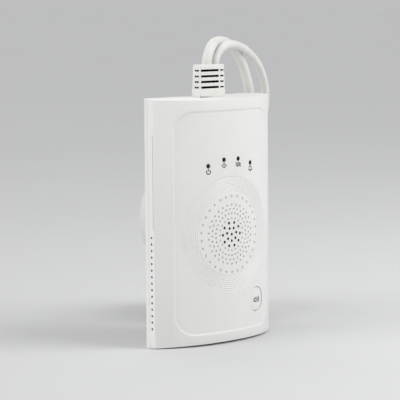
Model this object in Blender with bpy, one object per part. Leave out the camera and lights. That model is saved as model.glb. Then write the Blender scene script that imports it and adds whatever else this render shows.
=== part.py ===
"""A household alarm with a siren: a tall casing with a bowed front, a round twist-on wall bracket behind it,
and two leads that leave through one ribbed strain relief on top. Metres, +Z up, the front faces -Y.
The origin is on the surface that the casing stands on, under the middle of the casing and its bracket."""

import math

import bmesh
import bpy
from mathutils import Matrix, Vector

# ---------------------------------------------------------------- driving sizes
WIDTH = 0.0788
HEIGHT = 0.1203
DEPTH = 0.0387  # from the middle of the front to the back of the wall bracket
CASE_DEPTH = 0.0242  # from the middle of the front to the back of the casing
SEAM_DEPTH = 0.0172  # where the front cover meets the rear cover
FLANK_DEPTH = 0.0192  # where the rear cover's sides start to lean in
BACK_HALF_WIDTH = 0.0354
FACE_RADIUS = 0.085  # bow of the front, which tightens towards the sides
FACE_QUARTIC = 1626.0
WALL = 0.002
TOP_DROP = 0.0010  # how far the front cover's top slopes down to its front edge
FOOT_RISE = 0.0011  # and how far its underside slopes up to that edge
SEAM_LIP = 0.0001  # how far both slopes stay inside the casing's height at the seam
GAP = 0.0003

FRONT_Y = -DEPTH / 2
BACK_Y = FRONT_Y + CASE_DEPTH
SEAM_Y = FRONT_Y + SEAM_DEPTH
MID_Z = HEIGHT / 2

PANEL_HALF_WIDTH = 0.0315
PANEL_BOTTOM = 0.0059
PANEL_TOP = 0.1139
PANEL_CORNER = 0.0095
PANEL_RECESS = 0.0004

SIREN_Z = 0.0534
GRILLE_RINGS = ((1, 0.0, 0.0), (7, 0.0032, 167.4), (10, 0.00585, 180.4))  # count, radius, first angle
GRILLE_HOLE = 0.0006
INDICATOR_ARC = 0.037
INDICATOR_ANGLES = (112.8, 97.55, 82.45, 67.2)
INDICATOR_HOLE = 0.0012

BUTTON_X = 0.0195
BUTTON_Z = 0.0191
BUTTON_RADIUS = 0.0059
BUTTON_TRAVEL = 0.0008

VENT_COUNT = 15
VENT_PITCH = 0.00316
VENT_FIRST_Z = 0.0096
VENT_DEPTH = 0.0156
VENT_RADIUS = 0.00065

BOARD_FRONT = FRONT_Y + 0.0155
BOARD_BACK = FRONT_Y + 0.0171
ON_BOARD = BOARD_FRONT - GAP

CASE_POSTS = [(x, z) for x in (-0.031, 0.031) for z in (0.010, 0.110)]
BOARD_POSTS = [(x, z) for x in (-0.0255, 0.0255) for z in (0.0390, 0.0985)]

BOOT_Y = FRONT_Y + 0.01585
BOOT_TOP = 0.1359
BOOT_HALF_X = 0.0089
BOOT_HALF_Y = 0.0031
BOOT_TOP_HALF_X = 0.0083
BOOT_TOP_HALF_Y = 0.0029
BOOT_SLOT_Z = (0.1248, 0.1275, 0.1302, 0.1330)

BRACKET_RADIUS = 0.027
BRACKET_FRONT = BACK_Y + 0.00075
BRACKET_BACK = DEPTH / 2
BOSS_RADIUS = 0.020
LUG_ANGLES = (90.0, 210.0, 330.0)
LUG_SPREAD = 26.0

MAINS_LEAD = 0.005
SIGNAL_LEAD = 0.004
COIL_CENTRE = Vector((0.0503, 0.0515))
TIE = 0.0008
MAINS_COIL_Z = (TIE + GAP, TIE + GAP + 5 * MAINS_LEAD)
MAINS_COIL_R = (0.020, 0.030)
SIGNAL_COIL_Z = (MAINS_COIL_Z[1] + TIE + 2 * GAP, MAINS_COIL_Z[1] + TIE + 2 * GAP + 3 * SIGNAL_LEAD)
SIGNAL_COIL_R = (0.0175, 0.0255)
PLUG_Y = 0.0187
PLUG_Z = 0.006

# Each lead's run in the open, in millimetres: out of the strain relief, over, down behind the casing and
# onto its coil.
MAINS_ROUTE = [
    (-0.8, -3.2, 136.2), (-0.8, -3.2, 137.5), (0.9, -2.7, 141.3), (4.4, -1.2, 144.7), (8.9, 1.1, 146.2),
    (13.6, 2.5, 146.8), (18.3, 3.8, 146.4), (22.9, 5.0, 145.1), (27.1, 5.9, 142.8), (30.6, 6.5, 139.6),
    (33.7, 7.0, 135.8), (36.4, 7.7, 131.6), (38.6, 8.2, 127.2), (40.4, 8.7, 122.6), (41.6, 9.3, 118.0),
    (42.4, 10.1, 111.0), (42.5, 11.4, 103.0), (42.1, 13.2, 93.0), (40.4, 15.8, 81.0), (37.4, 19.0, 68.5),
    (33.6, 23.0, 56.0), (29.7, 28.0, 45.2), (26.4, 33.6, 36.4), (24.2, 39.2, 30.8), (23.1, 43.4, 29.0),
    (22.4, 46.6, 29.0),
]
SIGNAL_ROUTE = [
    (4.9, -3.3, 136.2), (4.9, -3.3, 137.5), (7.3, -2.8, 141.2), (10.9, -2.7, 143.9), (15.4, -1.8, 145.2),
    (20.2, -0.6, 145.2), (24.9, 0.6, 144.4), (29.6, 1.9, 143.1), (33.9, 3.5, 141.6), (38.2, 5.0, 139.6),
    (42.4, 6.2, 137.1), (46.1, 7.2, 134.0), (49.2, 8.0, 130.2), (51.4, 8.5, 126.0), (52.8, 8.9, 121.3),
    (53.4, 9.3, 116.4), (53.3, 10.2, 109.0), (53.0, 11.8, 99.0), (53.2, 14.4, 87.0), (54.4, 18.0, 74.0),
    (56.6, 22.4, 62.0), (59.6, 27.2, 52.4), (62.8, 31.4, 45.6), (66.0, 34.8, 42.2), (68.4, 37.6, 41.8),
]
MAINS_TAIL = [
    (59.6, 20.0, 3.8), (57.4, 19.6, 3.9), (54.0, 19.2, 4.3), (50.0, 18.8, 5.1), (46.8, 18.7, 5.7),
    (44.6, 18.7, 6.0), (43.3, 18.7, 6.0),
]

# ---------------------------------------------------------------- scene and helpers
for stale in list(bpy.data.objects):
    bpy.data.objects.remove(stale, do_unlink=True)


def finish(name, colour, roughness, metallic=0.0, alpha=1.0):
    """A plain Principled finish."""
    made = bpy.data.materials.new(name)
    made.use_nodes = True
    shader = made.node_tree.nodes["Principled BSDF"]
    shader.inputs["Base Color"].default_value = (*colour, 1.0)
    shader.inputs["Roughness"].default_value = roughness
    shader.inputs["Metallic"].default_value = metallic
    shader.inputs["Alpha"].default_value = alpha
    made.diffuse_color = (*colour, alpha)
    return made


WHITE = finish("white_plastic", (0.78, 0.78, 0.76), 0.42)
PVC = finish("white_pvc", (0.74, 0.74, 0.73), 0.5)
SMOKED = finish("smoked_lens", (0.015, 0.015, 0.017), 0.2)
BLACK = finish("black_plastic", (0.02, 0.02, 0.022), 0.45)
GREEN = finish("board_green", (0.02, 0.16, 0.07), 0.4)
STEEL = finish("screw_steel", (0.55, 0.55, 0.56), 0.3, 1.0)
BRASS = finish("blade_brass", (0.72, 0.56, 0.25), 0.28, 1.0)
COPPER = finish("winding_tape", (0.72, 0.42, 0.05), 0.5)
FERRITE = finish("core_laminate", (0.09, 0.09, 0.1), 0.55, 0.4)
PAPER = finish("cone_paper", (0.12, 0.11, 0.1), 0.8)
FOAM = finish("gasket_foam", (0.05, 0.05, 0.055), 0.9)
BLUE = finish("relay_blue", (0.03, 0.12, 0.42), 0.4)
CERAMIC = finish("fuse_ceramic", (0.8, 0.79, 0.72), 0.5)
CLEAR = finish("led_clear", (0.75, 0.8, 0.8), 0.15)


def face_depth(x):
    """How far the bowed front lies behind its middle at x."""
    return FACE_RADIUS - math.sqrt(FACE_RADIUS**2 - x * x) + FACE_QUARTIC * x**4


def face_y(x, inset=0.0):
    return FRONT_Y + face_depth(x) + inset


def made_object(name, shape, material, smooth=40.0):
    """Turns a bmesh into an object with its faces pointing out."""
    bmesh.ops.recalc_face_normals(shape, faces=shape.faces)
    mesh = bpy.data.meshes.new(name)
    shape.to_mesh(mesh)
    shape.free()
    mesh.materials.append(material)
    if smooth:
        mesh.shade_smooth()
        mesh.set_sharp_from_angle(angle=math.radians(smooth))
    made = bpy.data.objects.new(name, mesh)
    bpy.context.scene.collection.objects.link(made)
    return made


def combine(target, tool, operation):
    """Joins, cuts or intersects the target with a tool, which stays as a hidden guide."""
    tool.hide_render = True
    tool.display_type = "WIRE"
    tool.hide_viewport = False
    step = target.modifiers.new(tool.name, "BOOLEAN")
    step.operation = operation
    step.solver = "EXACT"
    step.object = tool
    return target


def cut(target, *tools):
    for tool in tools:
        combine(target, tool, "DIFFERENCE")
    return target


def unite(target, *tools):
    for tool in tools:
        combine(target, tool, "UNION")
    return target


def keep_inside(target, tool):
    return combine(target, tool, "INTERSECT")


def prism(outline, low, high, axis="Z"):
    """A closed outline extruded along an axis. The outline is (x, y) for Z, (x, z) for Y and (y, z) for X."""
    place = {
        "Z": lambda a, b, h: (a, b, h),
        "Y": lambda a, b, h: (a, h, b),
        "X": lambda a, b, h: (h, a, b),
    }[axis]
    shape = bmesh.new()
    base = shape.faces.new([shape.verts.new(place(a, b, low)) for a, b in outline])
    top = bmesh.ops.extrude_face_region(shape, geom=[base])["geom"]
    step = Vector(place(0.0, 0.0, high)) - Vector(place(0.0, 0.0, low))
    bmesh.ops.translate(shape, vec=step, verts=[v for v in top if isinstance(v, bmesh.types.BMVert)])
    return shape


def rectangle(a_low, a_high, b_low, b_high):
    return [(a_low, b_low), (a_high, b_low), (a_high, b_high), (a_low, b_high)]


def box(x_low, x_high, y_low, y_high, z_low, z_high):
    return prism(rectangle(x_low, x_high, y_low, y_high), z_low, z_high)


def rounded(a_low, a_high, b_low, b_high, radius, steps=5):
    """A rectangle with round corners, as an outline."""
    points = []
    corners = (
        (a_high - radius, b_low + radius, -90), (a_high - radius, b_high - radius, 0),
        (a_low + radius, b_high - radius, 90), (a_low + radius, b_low + radius, 180),
    )
    for a, b, start in corners:
        for step in range(steps + 1):
            turn = math.radians(start + 90.0 * step / steps)
            points.append((a + radius * math.cos(turn), b + radius * math.sin(turn)))
    return points


def circle(a, b, radius, sides):
    turns = [2 * math.pi * (k + 0.5) / sides for k in range(sides)]
    return [(a + radius * math.cos(t), b + radius * math.sin(t)) for t in turns]


def rod(a, b, radius, low, high, axis="Y", sides=16):
    return prism(circle(a, b, radius, sides), low, high, axis)


def merged(shapes):
    """Several separate shapes in one bmesh, for a cutter."""
    whole = bmesh.new()
    for shape in shapes:
        mesh = bpy.data.meshes.new("part_of_cutter")
        shape.to_mesh(mesh)
        shape.free()
        whole.from_mesh(mesh)
        bpy.data.meshes.remove(mesh)
    return whole


def turned(profile, centre, axis="Y", sides=32, ring=False):
    """A solid of revolution. The profile is (radius, height) from the axis and back to it, or a closed loop
    for a ring; centre is where the axis passes."""
    shape = bmesh.new()
    rows = []
    for radius, height in profile:
        if radius < 1e-7:
            rows.append([shape.verts.new((0.0, 0.0, height))])
            continue
        turns = [2 * math.pi * k / sides for k in range(sides)]
        rows.append([shape.verts.new((radius * math.cos(t), radius * math.sin(t), height)) for t in turns])
    pairs = list(zip(rows, rows[1:] + rows[:1] if ring else rows[1:], strict=False))
    for low, high in pairs:
        for k in range(sides):
            after = (k + 1) % sides
            if len(low) == 1 and len(high) == 1:
                continue
            if len(low) == 1:
                shape.faces.new((low[0], high[k], high[after]))
            elif len(high) == 1:
                shape.faces.new((low[k], low[after], high[0]))
            else:
                shape.faces.new((low[k], low[after], high[after], high[k]))
    if axis == "Y":
        shape.transform(Matrix.Rotation(math.radians(-90.0), 4, "X"))
    if axis == "X":
        shape.transform(Matrix.Rotation(math.radians(90.0), 4, "Y"))
    shape.transform(Matrix.Translation(centre))
    return shape


def face_slab(x_low, x_high, near, far, z_low, z_high, steps=28, back=None):
    """A slab that follows the bowed front, from near to far behind it, or to a flat back."""
    across = [x_low + (x_high - x_low) * k / steps for k in range(steps + 1)]
    outline = [(x, face_y(x, near)) for x in across]
    if back is None:
        outline += [(x, face_y(x, far)) for x in reversed(across)]
    else:
        outline += [(x_high, back), (x_low, back)]
    return prism(outline, z_low, z_high)


def sector(radius_low, radius_high, middle, spread, y_low, y_high, steps=4):
    """A curved lug about the bracket's axis."""
    angles = [math.radians(middle - spread / 2 + spread * k / steps) for k in range(steps + 1)]
    outline = [(radius_high * math.cos(t), MID_Z + radius_high * math.sin(t)) for t in angles]
    outline += [(radius_low * math.cos(t), MID_Z + radius_low * math.sin(t)) for t in reversed(angles)]
    return prism(outline, y_low, y_high, "Y")


def moved_to(made, x, y, z):
    """Puts an object's origin at a point without moving its shape."""
    made.data.transform(Matrix.Translation((-x, -y, -z)))
    made.location = (x, y, z)
    return made


# ---------------------------------------------------------------- front cover
half = WIDTH / 2
front_cover = made_object("front_cover", face_slab(-half, half, 0.0, 0.0, 0.0, HEIGHT, back=SEAM_Y), WHITE)
front_room = made_object(
    "front_room",
    face_slab(WALL - half, half - WALL, WALL, 0.0, WALL, HEIGHT - WALL, back=SEAM_Y + 0.004),
    WHITE,
)
cut(front_cover, front_room)


def slope(front_z, seam_z, far_z):
    """What lies past a slope that runs from the middle of the front to the seam."""
    reach = 0.002
    rise = (seam_z - front_z) / SEAM_DEPTH * reach
    profile = [
        (FRONT_Y - reach, front_z - rise), (SEAM_Y + reach, seam_z + rise),
        (SEAM_Y + reach, far_z), (FRONT_Y - reach, far_z),
    ]
    return prism(profile, -half - reach, half + reach, "X")


top_slope = slope(HEIGHT - TOP_DROP, HEIGHT - SEAM_LIP, HEIGHT + 0.003)
foot_slope = slope(FOOT_RISE, SEAM_LIP, -0.003)
cut(front_cover, made_object("top_slope", top_slope, WHITE), made_object("foot_slope", foot_slope, WHITE))

post_limit = made_object(
    "post_limit",
    face_slab(0.001 - half, half - 0.001, 0.001, 0.0, WALL - 0.001, HEIGHT - WALL + 0.001, back=SEAM_Y),
    WHITE,
)
for number, (x, z) in enumerate(CASE_POSTS):
    post = made_object(f"front_post_{number}", rod(x, z, 0.0035, FRONT_Y, SEAM_Y), WHITE)
    unite(front_cover, keep_inside(post, post_limit))
pilots = merged([rod(x, z, 0.0016, SEAM_Y - 0.0068, SEAM_Y + 0.001, sides=12) for x, z in CASE_POSTS])
cut(front_cover, made_object("front_pilots", pilots, WHITE))

panel_outline = rounded(-PANEL_HALF_WIDTH, PANEL_HALF_WIDTH, PANEL_BOTTOM, PANEL_TOP, PANEL_CORNER)
panel_cutter = made_object("panel_cutter", prism(panel_outline, FRONT_Y - 0.002, SEAM_Y, "Y"), WHITE)
panel_skin = made_object(
    "panel_skin", face_slab(-half, half, -0.003, PANEL_RECESS, -0.001, HEIGHT + 0.001), WHITE
)
cut(front_cover, keep_inside(panel_cutter, panel_skin))

holes = []
for count, radius, first in GRILLE_RINGS:
    for k in range(count):
        turn = math.radians(first + 360.0 * k / count)
        x, z = radius * math.cos(turn), SIREN_Z + radius * math.sin(turn)
        holes.append(rod(x, z, GRILLE_HOLE, FRONT_Y - 0.001, FRONT_Y + 0.004, sides=8))
indicator_places = []
for angle in INDICATOR_ANGLES:
    turn = math.radians(angle)
    place = (INDICATOR_ARC * math.cos(turn), SIREN_Z + INDICATOR_ARC * math.sin(turn))
    indicator_places.append(place)
    holes.append(rod(*place, INDICATOR_HOLE, FRONT_Y - 0.001, FRONT_Y + 0.006, sides=12))
holes.append(rod(BUTTON_X, BUTTON_Z, BUTTON_RADIUS + GAP, FRONT_Y - 0.001, FRONT_Y + 0.009, sides=32))
cut(front_cover, made_object("front_holes", merged(holes), WHITE))

vents = []
for side in (-1, 1):
    ends = sorted((side * (half - WALL - 0.001), side * (half + 0.001)))
    for k in range(VENT_COUNT):
        z = VENT_FIRST_Z + VENT_PITCH * k
        vents.append(rod(FRONT_Y + VENT_DEPTH, z, VENT_RADIUS, *ends, "X", sides=8))
cut(front_cover, made_object("side_vents", merged(vents), WHITE))

gate_x = BOOT_HALF_X - 0.0013
gate_y = BOOT_HALF_Y - 0.0004
lead_gate = box(-gate_x, gate_x, BOOT_Y - gate_y, BOOT_Y + gate_y, HEIGHT - 0.004, HEIGHT + 0.001)
lead_gate = made_object("lead_gate", lead_gate, WHITE)
cut(front_cover, lead_gate)

# ---------------------------------------------------------------- rear cover
rear_front = SEAM_Y + GAP
flank_y = FRONT_Y + FLANK_DEPTH
shell = [
    (-half, rear_front), (half, rear_front), (half, flank_y), (BACK_HALF_WIDTH, BACK_Y),
    (-BACK_HALF_WIDTH, BACK_Y), (-half, flank_y),
]
rear_cover = made_object("rear_cover", prism(shell, 0.0, HEIGHT), WHITE)
room_half = half - WALL
room_back_half = BACK_HALF_WIDTH - 0.0014
room = [
    (-room_half, SEAM_Y - 0.004), (room_half, SEAM_Y - 0.004), (room_half, flank_y - 0.0004),
    (room_back_half, BACK_Y - WALL), (-room_back_half, BACK_Y - WALL), (-room_half, flank_y - 0.0004),
]
cut(rear_cover, made_object("rear_room", prism(room, WALL, HEIGHT - WALL), WHITE))

boss_face = BACK_Y + 0.005
BOSS_CENTRE = (0.0, 0.0, MID_Z)
boss = [(0.0, BACK_Y - 0.001), (BOSS_RADIUS, BACK_Y - 0.001), (BOSS_RADIUS, boss_face), (0.0, boss_face)]
unite(rear_cover, made_object("bracket_boss", turned(boss, BOSS_CENTRE, sides=40), WHITE))
boss_room = [
    (0.0, BACK_Y - 0.004), (BOSS_RADIUS - WALL, BACK_Y - 0.004),
    (BOSS_RADIUS - WALL, boss_face - WALL), (0.0, boss_face - WALL),
]
cut(rear_cover, made_object("boss_room", turned(boss_room, BOSS_CENTRE, sides=40), WHITE))
for number, middle in enumerate(LUG_ANGLES):
    lug = sector(BOSS_RADIUS - 0.001, 0.0225, middle, LUG_SPREAD, boss_face - 0.0018, boss_face)
    unite(rear_cover, made_object(f"boss_lug_{number}", lug, WHITE))

for number, (x, z) in enumerate(CASE_POSTS):
    post = rod(x, z, 0.0035, rear_front, BACK_Y - 0.0005)
    unite(rear_cover, made_object(f"rear_post_{number}", post, WHITE))
for number, (x, z) in enumerate(BOARD_POSTS):
    post = rod(x, z, 0.0028, BOARD_BACK + GAP, BACK_Y - 0.0005)
    unite(rear_cover, made_object(f"board_post_{number}", post, WHITE))
rear_holes = [rod(x, z, 0.0016, rear_front - 0.001, BACK_Y + 0.001, sides=12) for x, z in CASE_POSTS]
rear_holes += [rod(x, z, 0.0014, BOARD_BACK - 0.001, BACK_Y - 0.0028, sides=12) for x, z in BOARD_POSTS]
cut(rear_cover, made_object("rear_pilots", merged(rear_holes), WHITE))
head_seat = BACK_Y - 0.0042
seats = merged([rod(x, z, 0.0031, head_seat, BACK_Y + 0.001) for x, z in CASE_POSTS])
cut(rear_cover, made_object("head_seats", seats, WHITE))
cut(rear_cover, lead_gate)

# ---------------------------------------------------------------- fasteners
def screw(name, x, z, head_radius, head_front, head_back, shank_radius, tip, points_front):
    """A pan-head screw along Y. points_front is true where its tip points to the front."""
    seat, crown = (head_front, head_back) if points_front else (head_back, head_front)
    crown_edge = crown + (seat - crown) * 0.35
    profile = [
        (0.0, crown), (head_radius * 0.72, crown), (head_radius, crown_edge), (head_radius, seat),
        (shank_radius, seat), (shank_radius, tip + (seat - tip) * 0.08), (0.0, tip),
    ]
    made = made_object(name, turned(profile, (x, 0.0, z), sides=14), STEEL)
    slot_half = head_radius * 0.16
    deep = crown + (seat - crown) * 0.45
    low, high = sorted((deep, crown + (crown - seat)))
    arms = [box(x - a, x + a, low, high, z - b, z + b)
            for a, b in ((slot_half, head_radius * 0.62), (head_radius * 0.62, slot_half))]
    return cut(made, *[made_object(f"{name}_arm_{k}", arm, STEEL) for k, arm in enumerate(arms)])


for number, (x, z) in enumerate(CASE_POSTS, 1):
    head = (head_seat + GAP, head_seat + 0.0021)
    screw(f"case_screw_{number}", x, z, 0.0027, *head, 0.0013, SEAM_Y - 0.0062, True)
for number, (x, z) in enumerate(BOARD_POSTS, 1):
    head = (ON_BOARD - 0.0015, ON_BOARD)
    screw(f"board_screw_{number}", x, z, 0.0023, *head, 0.0011, BACK_Y - 0.0034, False)

# ---------------------------------------------------------------- circuit board and what is on it
board_outline = rounded(-0.0345, 0.0345, 0.005, 0.1085, 0.001)
board = made_object("main_board", prism(board_outline, BOARD_FRONT, BOARD_BACK, "Y"), GREEN)
through_board = (BOARD_FRONT - 0.001, BOARD_BACK + 0.001)
notches = merged([rod(x, z, 0.0042, *through_board) for x, z in CASE_POSTS])
cut(board, made_object("board_notches", notches, GREEN))
drills = merged([rod(x, z, 0.0014, *through_board, sides=12) for x, z in BOARD_POSTS])
cut(board, made_object("board_drills", drills, GREEN))


def at_depth(depth):
    """The y of a depth behind the middle of the front."""
    return FRONT_Y + depth


def block(name, x_low, x_high, depth, z_low, z_high, material, bevel=0.0004):
    """A part that stands on the front of the board and reaches forward to a depth."""
    made = made_object(name, box(x_low, x_high, at_depth(depth), ON_BOARD, z_low, z_high), material)
    edge = made.modifiers.new("edges", "BEVEL")
    edge.width = bevel
    edge.segments = 1
    return made


block("microcontroller", -0.0300, -0.0210, 0.0139, 0.0500, 0.0590, BLACK, 0.0002)
block("relay", -0.0170, 0.0030, 0.0049, 0.0738, 0.0838, BLUE)
block("terminal_block", -0.0120, -0.0020, 0.0062, 0.0975, 0.1075, GREEN)
block("signal_header", 0.0030, 0.0110, 0.0082, 0.0990, 0.1070, WHITE)
half_switch = 0.003
block("switch_body", BUTTON_X - half_switch, BUTTON_X + half_switch, 0.01195,
      BUTTON_Z - half_switch, BUTTON_Z + half_switch, BLACK, 0.0002)
switch_well = rod(BUTTON_X, BUTTON_Z, 0.00205, at_depth(0.0115), at_depth(0.01375), sides=16)
cut(bpy.data.objects["switch_body"], made_object("switch_well", switch_well, BLACK))

core_y = (at_depth(0.0060), at_depth(0.0138))
core = made_object("transformer_core", box(-0.013, 0.009, *core_y, 0.010, 0.028), FERRITE)
window = box(-0.008, 0.004, core_y[0] - 0.001, core_y[1] + 0.001, 0.0145, 0.0235)
cut(core, made_object("core_window", window, FERRITE))
winding_outline = rounded(-0.0077, 0.0037, 0.0148, 0.0232, 0.002, 3)
made_object("transformer_winding", prism(winding_outline, at_depth(0.0046), ON_BOARD, "Y"), COPPER)


def can(name, x, z, radius, depth, material, waist=0.0):
    """A round component that stands on the board, with a softened rim and, if asked, a crimped waist."""
    top = at_depth(depth)
    profile = [(0.0, top), (radius - 0.0005, top), (radius, top + 0.0005)]
    if waist:
        crimp = ((radius, 0.0026), (radius - waist, 0.0021), (radius, 0.0016))
        profile += [(r, ON_BOARD - above) for r, above in crimp]
    profile += [(radius, ON_BOARD), (0.0, ON_BOARD)]
    return made_object(name, turned(profile, (x, 0.0, z), sides=24), material)


can("capacitor_1", 0.0105, 0.0785, 0.0040, 0.0052, BLACK, 0.0004)
can("capacitor_2", 0.0200, 0.0785, 0.0032, 0.0072, BLACK, 0.0004)
SENSOR = (-0.0220, 0.0300)
made_object("sensor_base", rod(*SENSOR, 0.0046, at_depth(0.0140), ON_BOARD, sides=24), BLACK)
sensor_profile = [
    (0.0, at_depth(0.0083)), (0.0031, at_depth(0.0083)), (0.0041, at_depth(0.0088)),
    (0.0041, at_depth(0.0137)), (0.0, at_depth(0.0137)),
]
made_object("gas_sensor", turned(sensor_profile, (SENSOR[0], 0.0, SENSOR[1]), sides=24), STEEL)
fuse_profile = [(0.0, 0.0910), (0.0026, 0.0910), (0.0026, 0.0955), (0.0023, 0.0957), (0.0023, 0.1043),
                (0.0026, 0.1045), (0.0026, 0.1090), (0.0, 0.1090)]
made_object("fuse", turned(fuse_profile, (-0.0175, at_depth(0.0122), 0.0), "Z", 16), CERAMIC)
varistor_profile = [
    (0.0, -0.0014), (0.0038, -0.0014), (0.0042, -0.0007), (0.0042, 0.0007), (0.0038, 0.0014), (0.0, 0.0014),
]
made_object("varistor", turned(varistor_profile, (0.0165, at_depth(0.0109), 0.0965), "X", 20), BLUE)

# ---------------------------------------------------------------- indicators
for number, (x, z) in enumerate(indicator_places, 1):
    wide = 0.0016
    shoulder = face_y(abs(x) + wide, WALL + GAP)
    tip = face_y(abs(x) + 0.0009, PANEL_RECESS + 0.0001)
    back = at_depth(0.0097)
    pipe = [(0.0, tip), (0.0009, tip), (0.0009, shoulder), (wide, shoulder), (wide, back), (0.0, back)]
    made_object(f"light_pipe_{number}", turned(pipe, (x, 0.0, z), sides=12), SMOKED)
    dome = [(0.0015 * math.sin(t), at_depth(0.0115) - 0.0015 * math.cos(t)) for t in (0.4, 0.8, 1.2)]
    lamp = [(0.0, at_depth(0.0100))] + dome + [(0.0015, at_depth(0.0115)), (0.0015, at_depth(0.0142)),
            (0.0018, at_depth(0.0142)), (0.0018, ON_BOARD), (0.0, ON_BOARD)]
    made_object(f"indicator_led_{number}", turned(lamp, (x, 0.0, z), sides=12), CLEAR)

# ---------------------------------------------------------------- siren
SIREN_CENTRE = (0.0, 0.0, SIREN_Z)
gasket = rectangle(0.0152, 0.0178, FRONT_Y, at_depth(0.0059))
gasket = made_object("siren_gasket", turned(gasket, SIREN_CENTRE, sides=40, ring=True), FOAM)
limit = 0.022
gasket_limit = face_slab(-limit, limit, WALL + GAP, 0.0, SIREN_Z - limit, SIREN_Z + limit, 24,
                         at_depth(0.008))
keep_inside(gasket, made_object("gasket_limit", gasket_limit, FOAM))
basket = [
    (0.0, 0.0112), (0.0105, 0.0112), (0.0155, 0.0076), (0.0180, 0.0074), (0.0180, 0.0062),
    (0.0146, 0.0062), (0.0146, 0.0071), (0.0100, 0.0104), (0.0, 0.0104),
]
basket = [(r, at_depth(d)) for r, d in basket]
made_object("siren_frame", turned(basket, SIREN_CENTRE, sides=40), BLACK)
cone = [
    (0.0, 0.0079), (0.0030, 0.0084), (0.0045, 0.0092), (0.0100, 0.0076), (0.0125, 0.0064), (0.0143, 0.0067),
    (0.0143, 0.0070), (0.0127, 0.0069), (0.0102, 0.0081), (0.0048, 0.0097), (0.0, 0.0097),
]
cone = [(r, at_depth(d)) for r, d in cone]
made_object("siren_cone", turned(cone, SIREN_CENTRE, sides=36), PAPER)
magnet = [
    (0.0, 0.0115), (0.0086, 0.0115), (0.0090, 0.0119), (0.0090, 0.0142), (0.0086, 0.0146), (0.0, 0.0146),
]
magnet = [(r, at_depth(d)) for r, d in magnet]
made_object("siren_magnet", turned(magnet, SIREN_CENTRE, sides=28), FERRITE)

# ---------------------------------------------------------------- test button and its switch
cap = made_object(
    "test_button", rod(BUTTON_X, BUTTON_Z, BUTTON_RADIUS, FRONT_Y - 0.001, FRONT_Y + 0.012, sides=32), WHITE
)
reach = 0.009
cap_limit = face_slab(BUTTON_X - reach, BUTTON_X + reach, PANEL_RECESS - 0.0002, 0.0030,
                      BUTTON_Z - reach, BUTTON_Z + reach, 12)
keep_inside(cap, made_object("cap_limit", cap_limit, WHITE))
collar = rod(BUTTON_X, BUTTON_Z, 0.0072, FRONT_Y - 0.001, FRONT_Y + 0.012, sides=32)
collar = made_object("button_collar", collar, WHITE)
collar_limit = face_slab(BUTTON_X - reach, BUTTON_X + reach, WALL + GAP, 0.0034,
                         BUTTON_Z - reach, BUTTON_Z + reach, 12)
keep_inside(collar, made_object("collar_limit", collar_limit, WHITE))
stem = rod(BUTTON_X, BUTTON_Z, 0.0020, FRONT_Y + 0.0050, at_depth(0.01055), sides=16)
unite(cap, collar, made_object("button_stem", stem, WHITE))
moved_to(cap, BUTTON_X, FRONT_Y, BUTTON_Z)
plunger = rod(BUTTON_X, BUTTON_Z, 0.00175, at_depth(0.01085), at_depth(0.01285), sides=16)
moved_to(made_object("switch_plunger", plunger, BLACK), BUTTON_X, FRONT_Y, BUTTON_Z)

# ---------------------------------------------------------------- strain relief
def lead_boot():
    """The ribbed block that both leads leave through: a flange inside the casing, a neck in its gate, and a
    tapering outside part with slots that let it bend."""
    shape = bmesh.new()
    rows = []
    levels = ((BOOT_HALF_X, BOOT_HALF_Y, HEIGHT + GAP), (BOOT_TOP_HALF_X, BOOT_TOP_HALF_Y, BOOT_TOP))
    for half_x, half_y, z in levels:
        outline = rounded(-half_x, half_x, BOOT_Y - half_y, BOOT_Y + half_y, 0.0010, 3)
        rows.append([shape.verts.new((x, y, z)) for x, y in outline])
    shape.faces.new(rows[0])
    shape.faces.new(rows[1])
    count = len(rows[0])
    for k in range(count):
        after = (k + 1) % count
        shape.faces.new((rows[0][k], rows[0][after], rows[1][after], rows[1][k]))
    return shape


cable_boot = made_object("cable_boot", lead_boot(), PVC)
neck_x, neck_y = gate_x - GAP, gate_y - GAP
flange_x, flange_y = gate_x + 0.0011, gate_y + 0.0009
neck = box(-neck_x, neck_x, BOOT_Y - neck_y, BOOT_Y + neck_y, HEIGHT - WALL - 0.0010, HEIGHT + 0.0010)
flange = box(-flange_x, flange_x, BOOT_Y - flange_y, BOOT_Y + flange_y,
             HEIGHT - WALL - 0.0030, HEIGHT - WALL - GAP)
unite(cable_boot, made_object("boot_neck", neck, PVC), made_object("boot_flange", flange, PVC))
side_slots = []
end_slots = []
slot_half = 0.00052
deep = 0.0022
end_deep = 0.0018
for z in BOOT_SLOT_Z:
    low, high = z - slot_half, z + slot_half
    for side in (-1, 1):
        face = BOOT_Y + side * (BOOT_HALF_Y + 0.001)
        floor = BOOT_Y + side * (BOOT_HALF_Y - deep)
        for start, end in ((0.0083, -0.0041), (-0.0049, -0.0074)):
            side_slots.append(box(*sorted((side * start, side * end)), *sorted((face, floor)), low, high))
        end_x = sorted((side * (BOOT_HALF_X + 0.001), side * (BOOT_HALF_X - end_deep)))
        end_y = sorted((BOOT_Y + side * 0.0024, BOOT_Y - side * 0.0010))
        end_slots.append(box(*end_x, *end_y, low, high))
cut(cable_boot, made_object("boot_side_slots", merged(side_slots), PVC))
cut(cable_boot, made_object("boot_end_slots", merged(end_slots), PVC))


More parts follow.
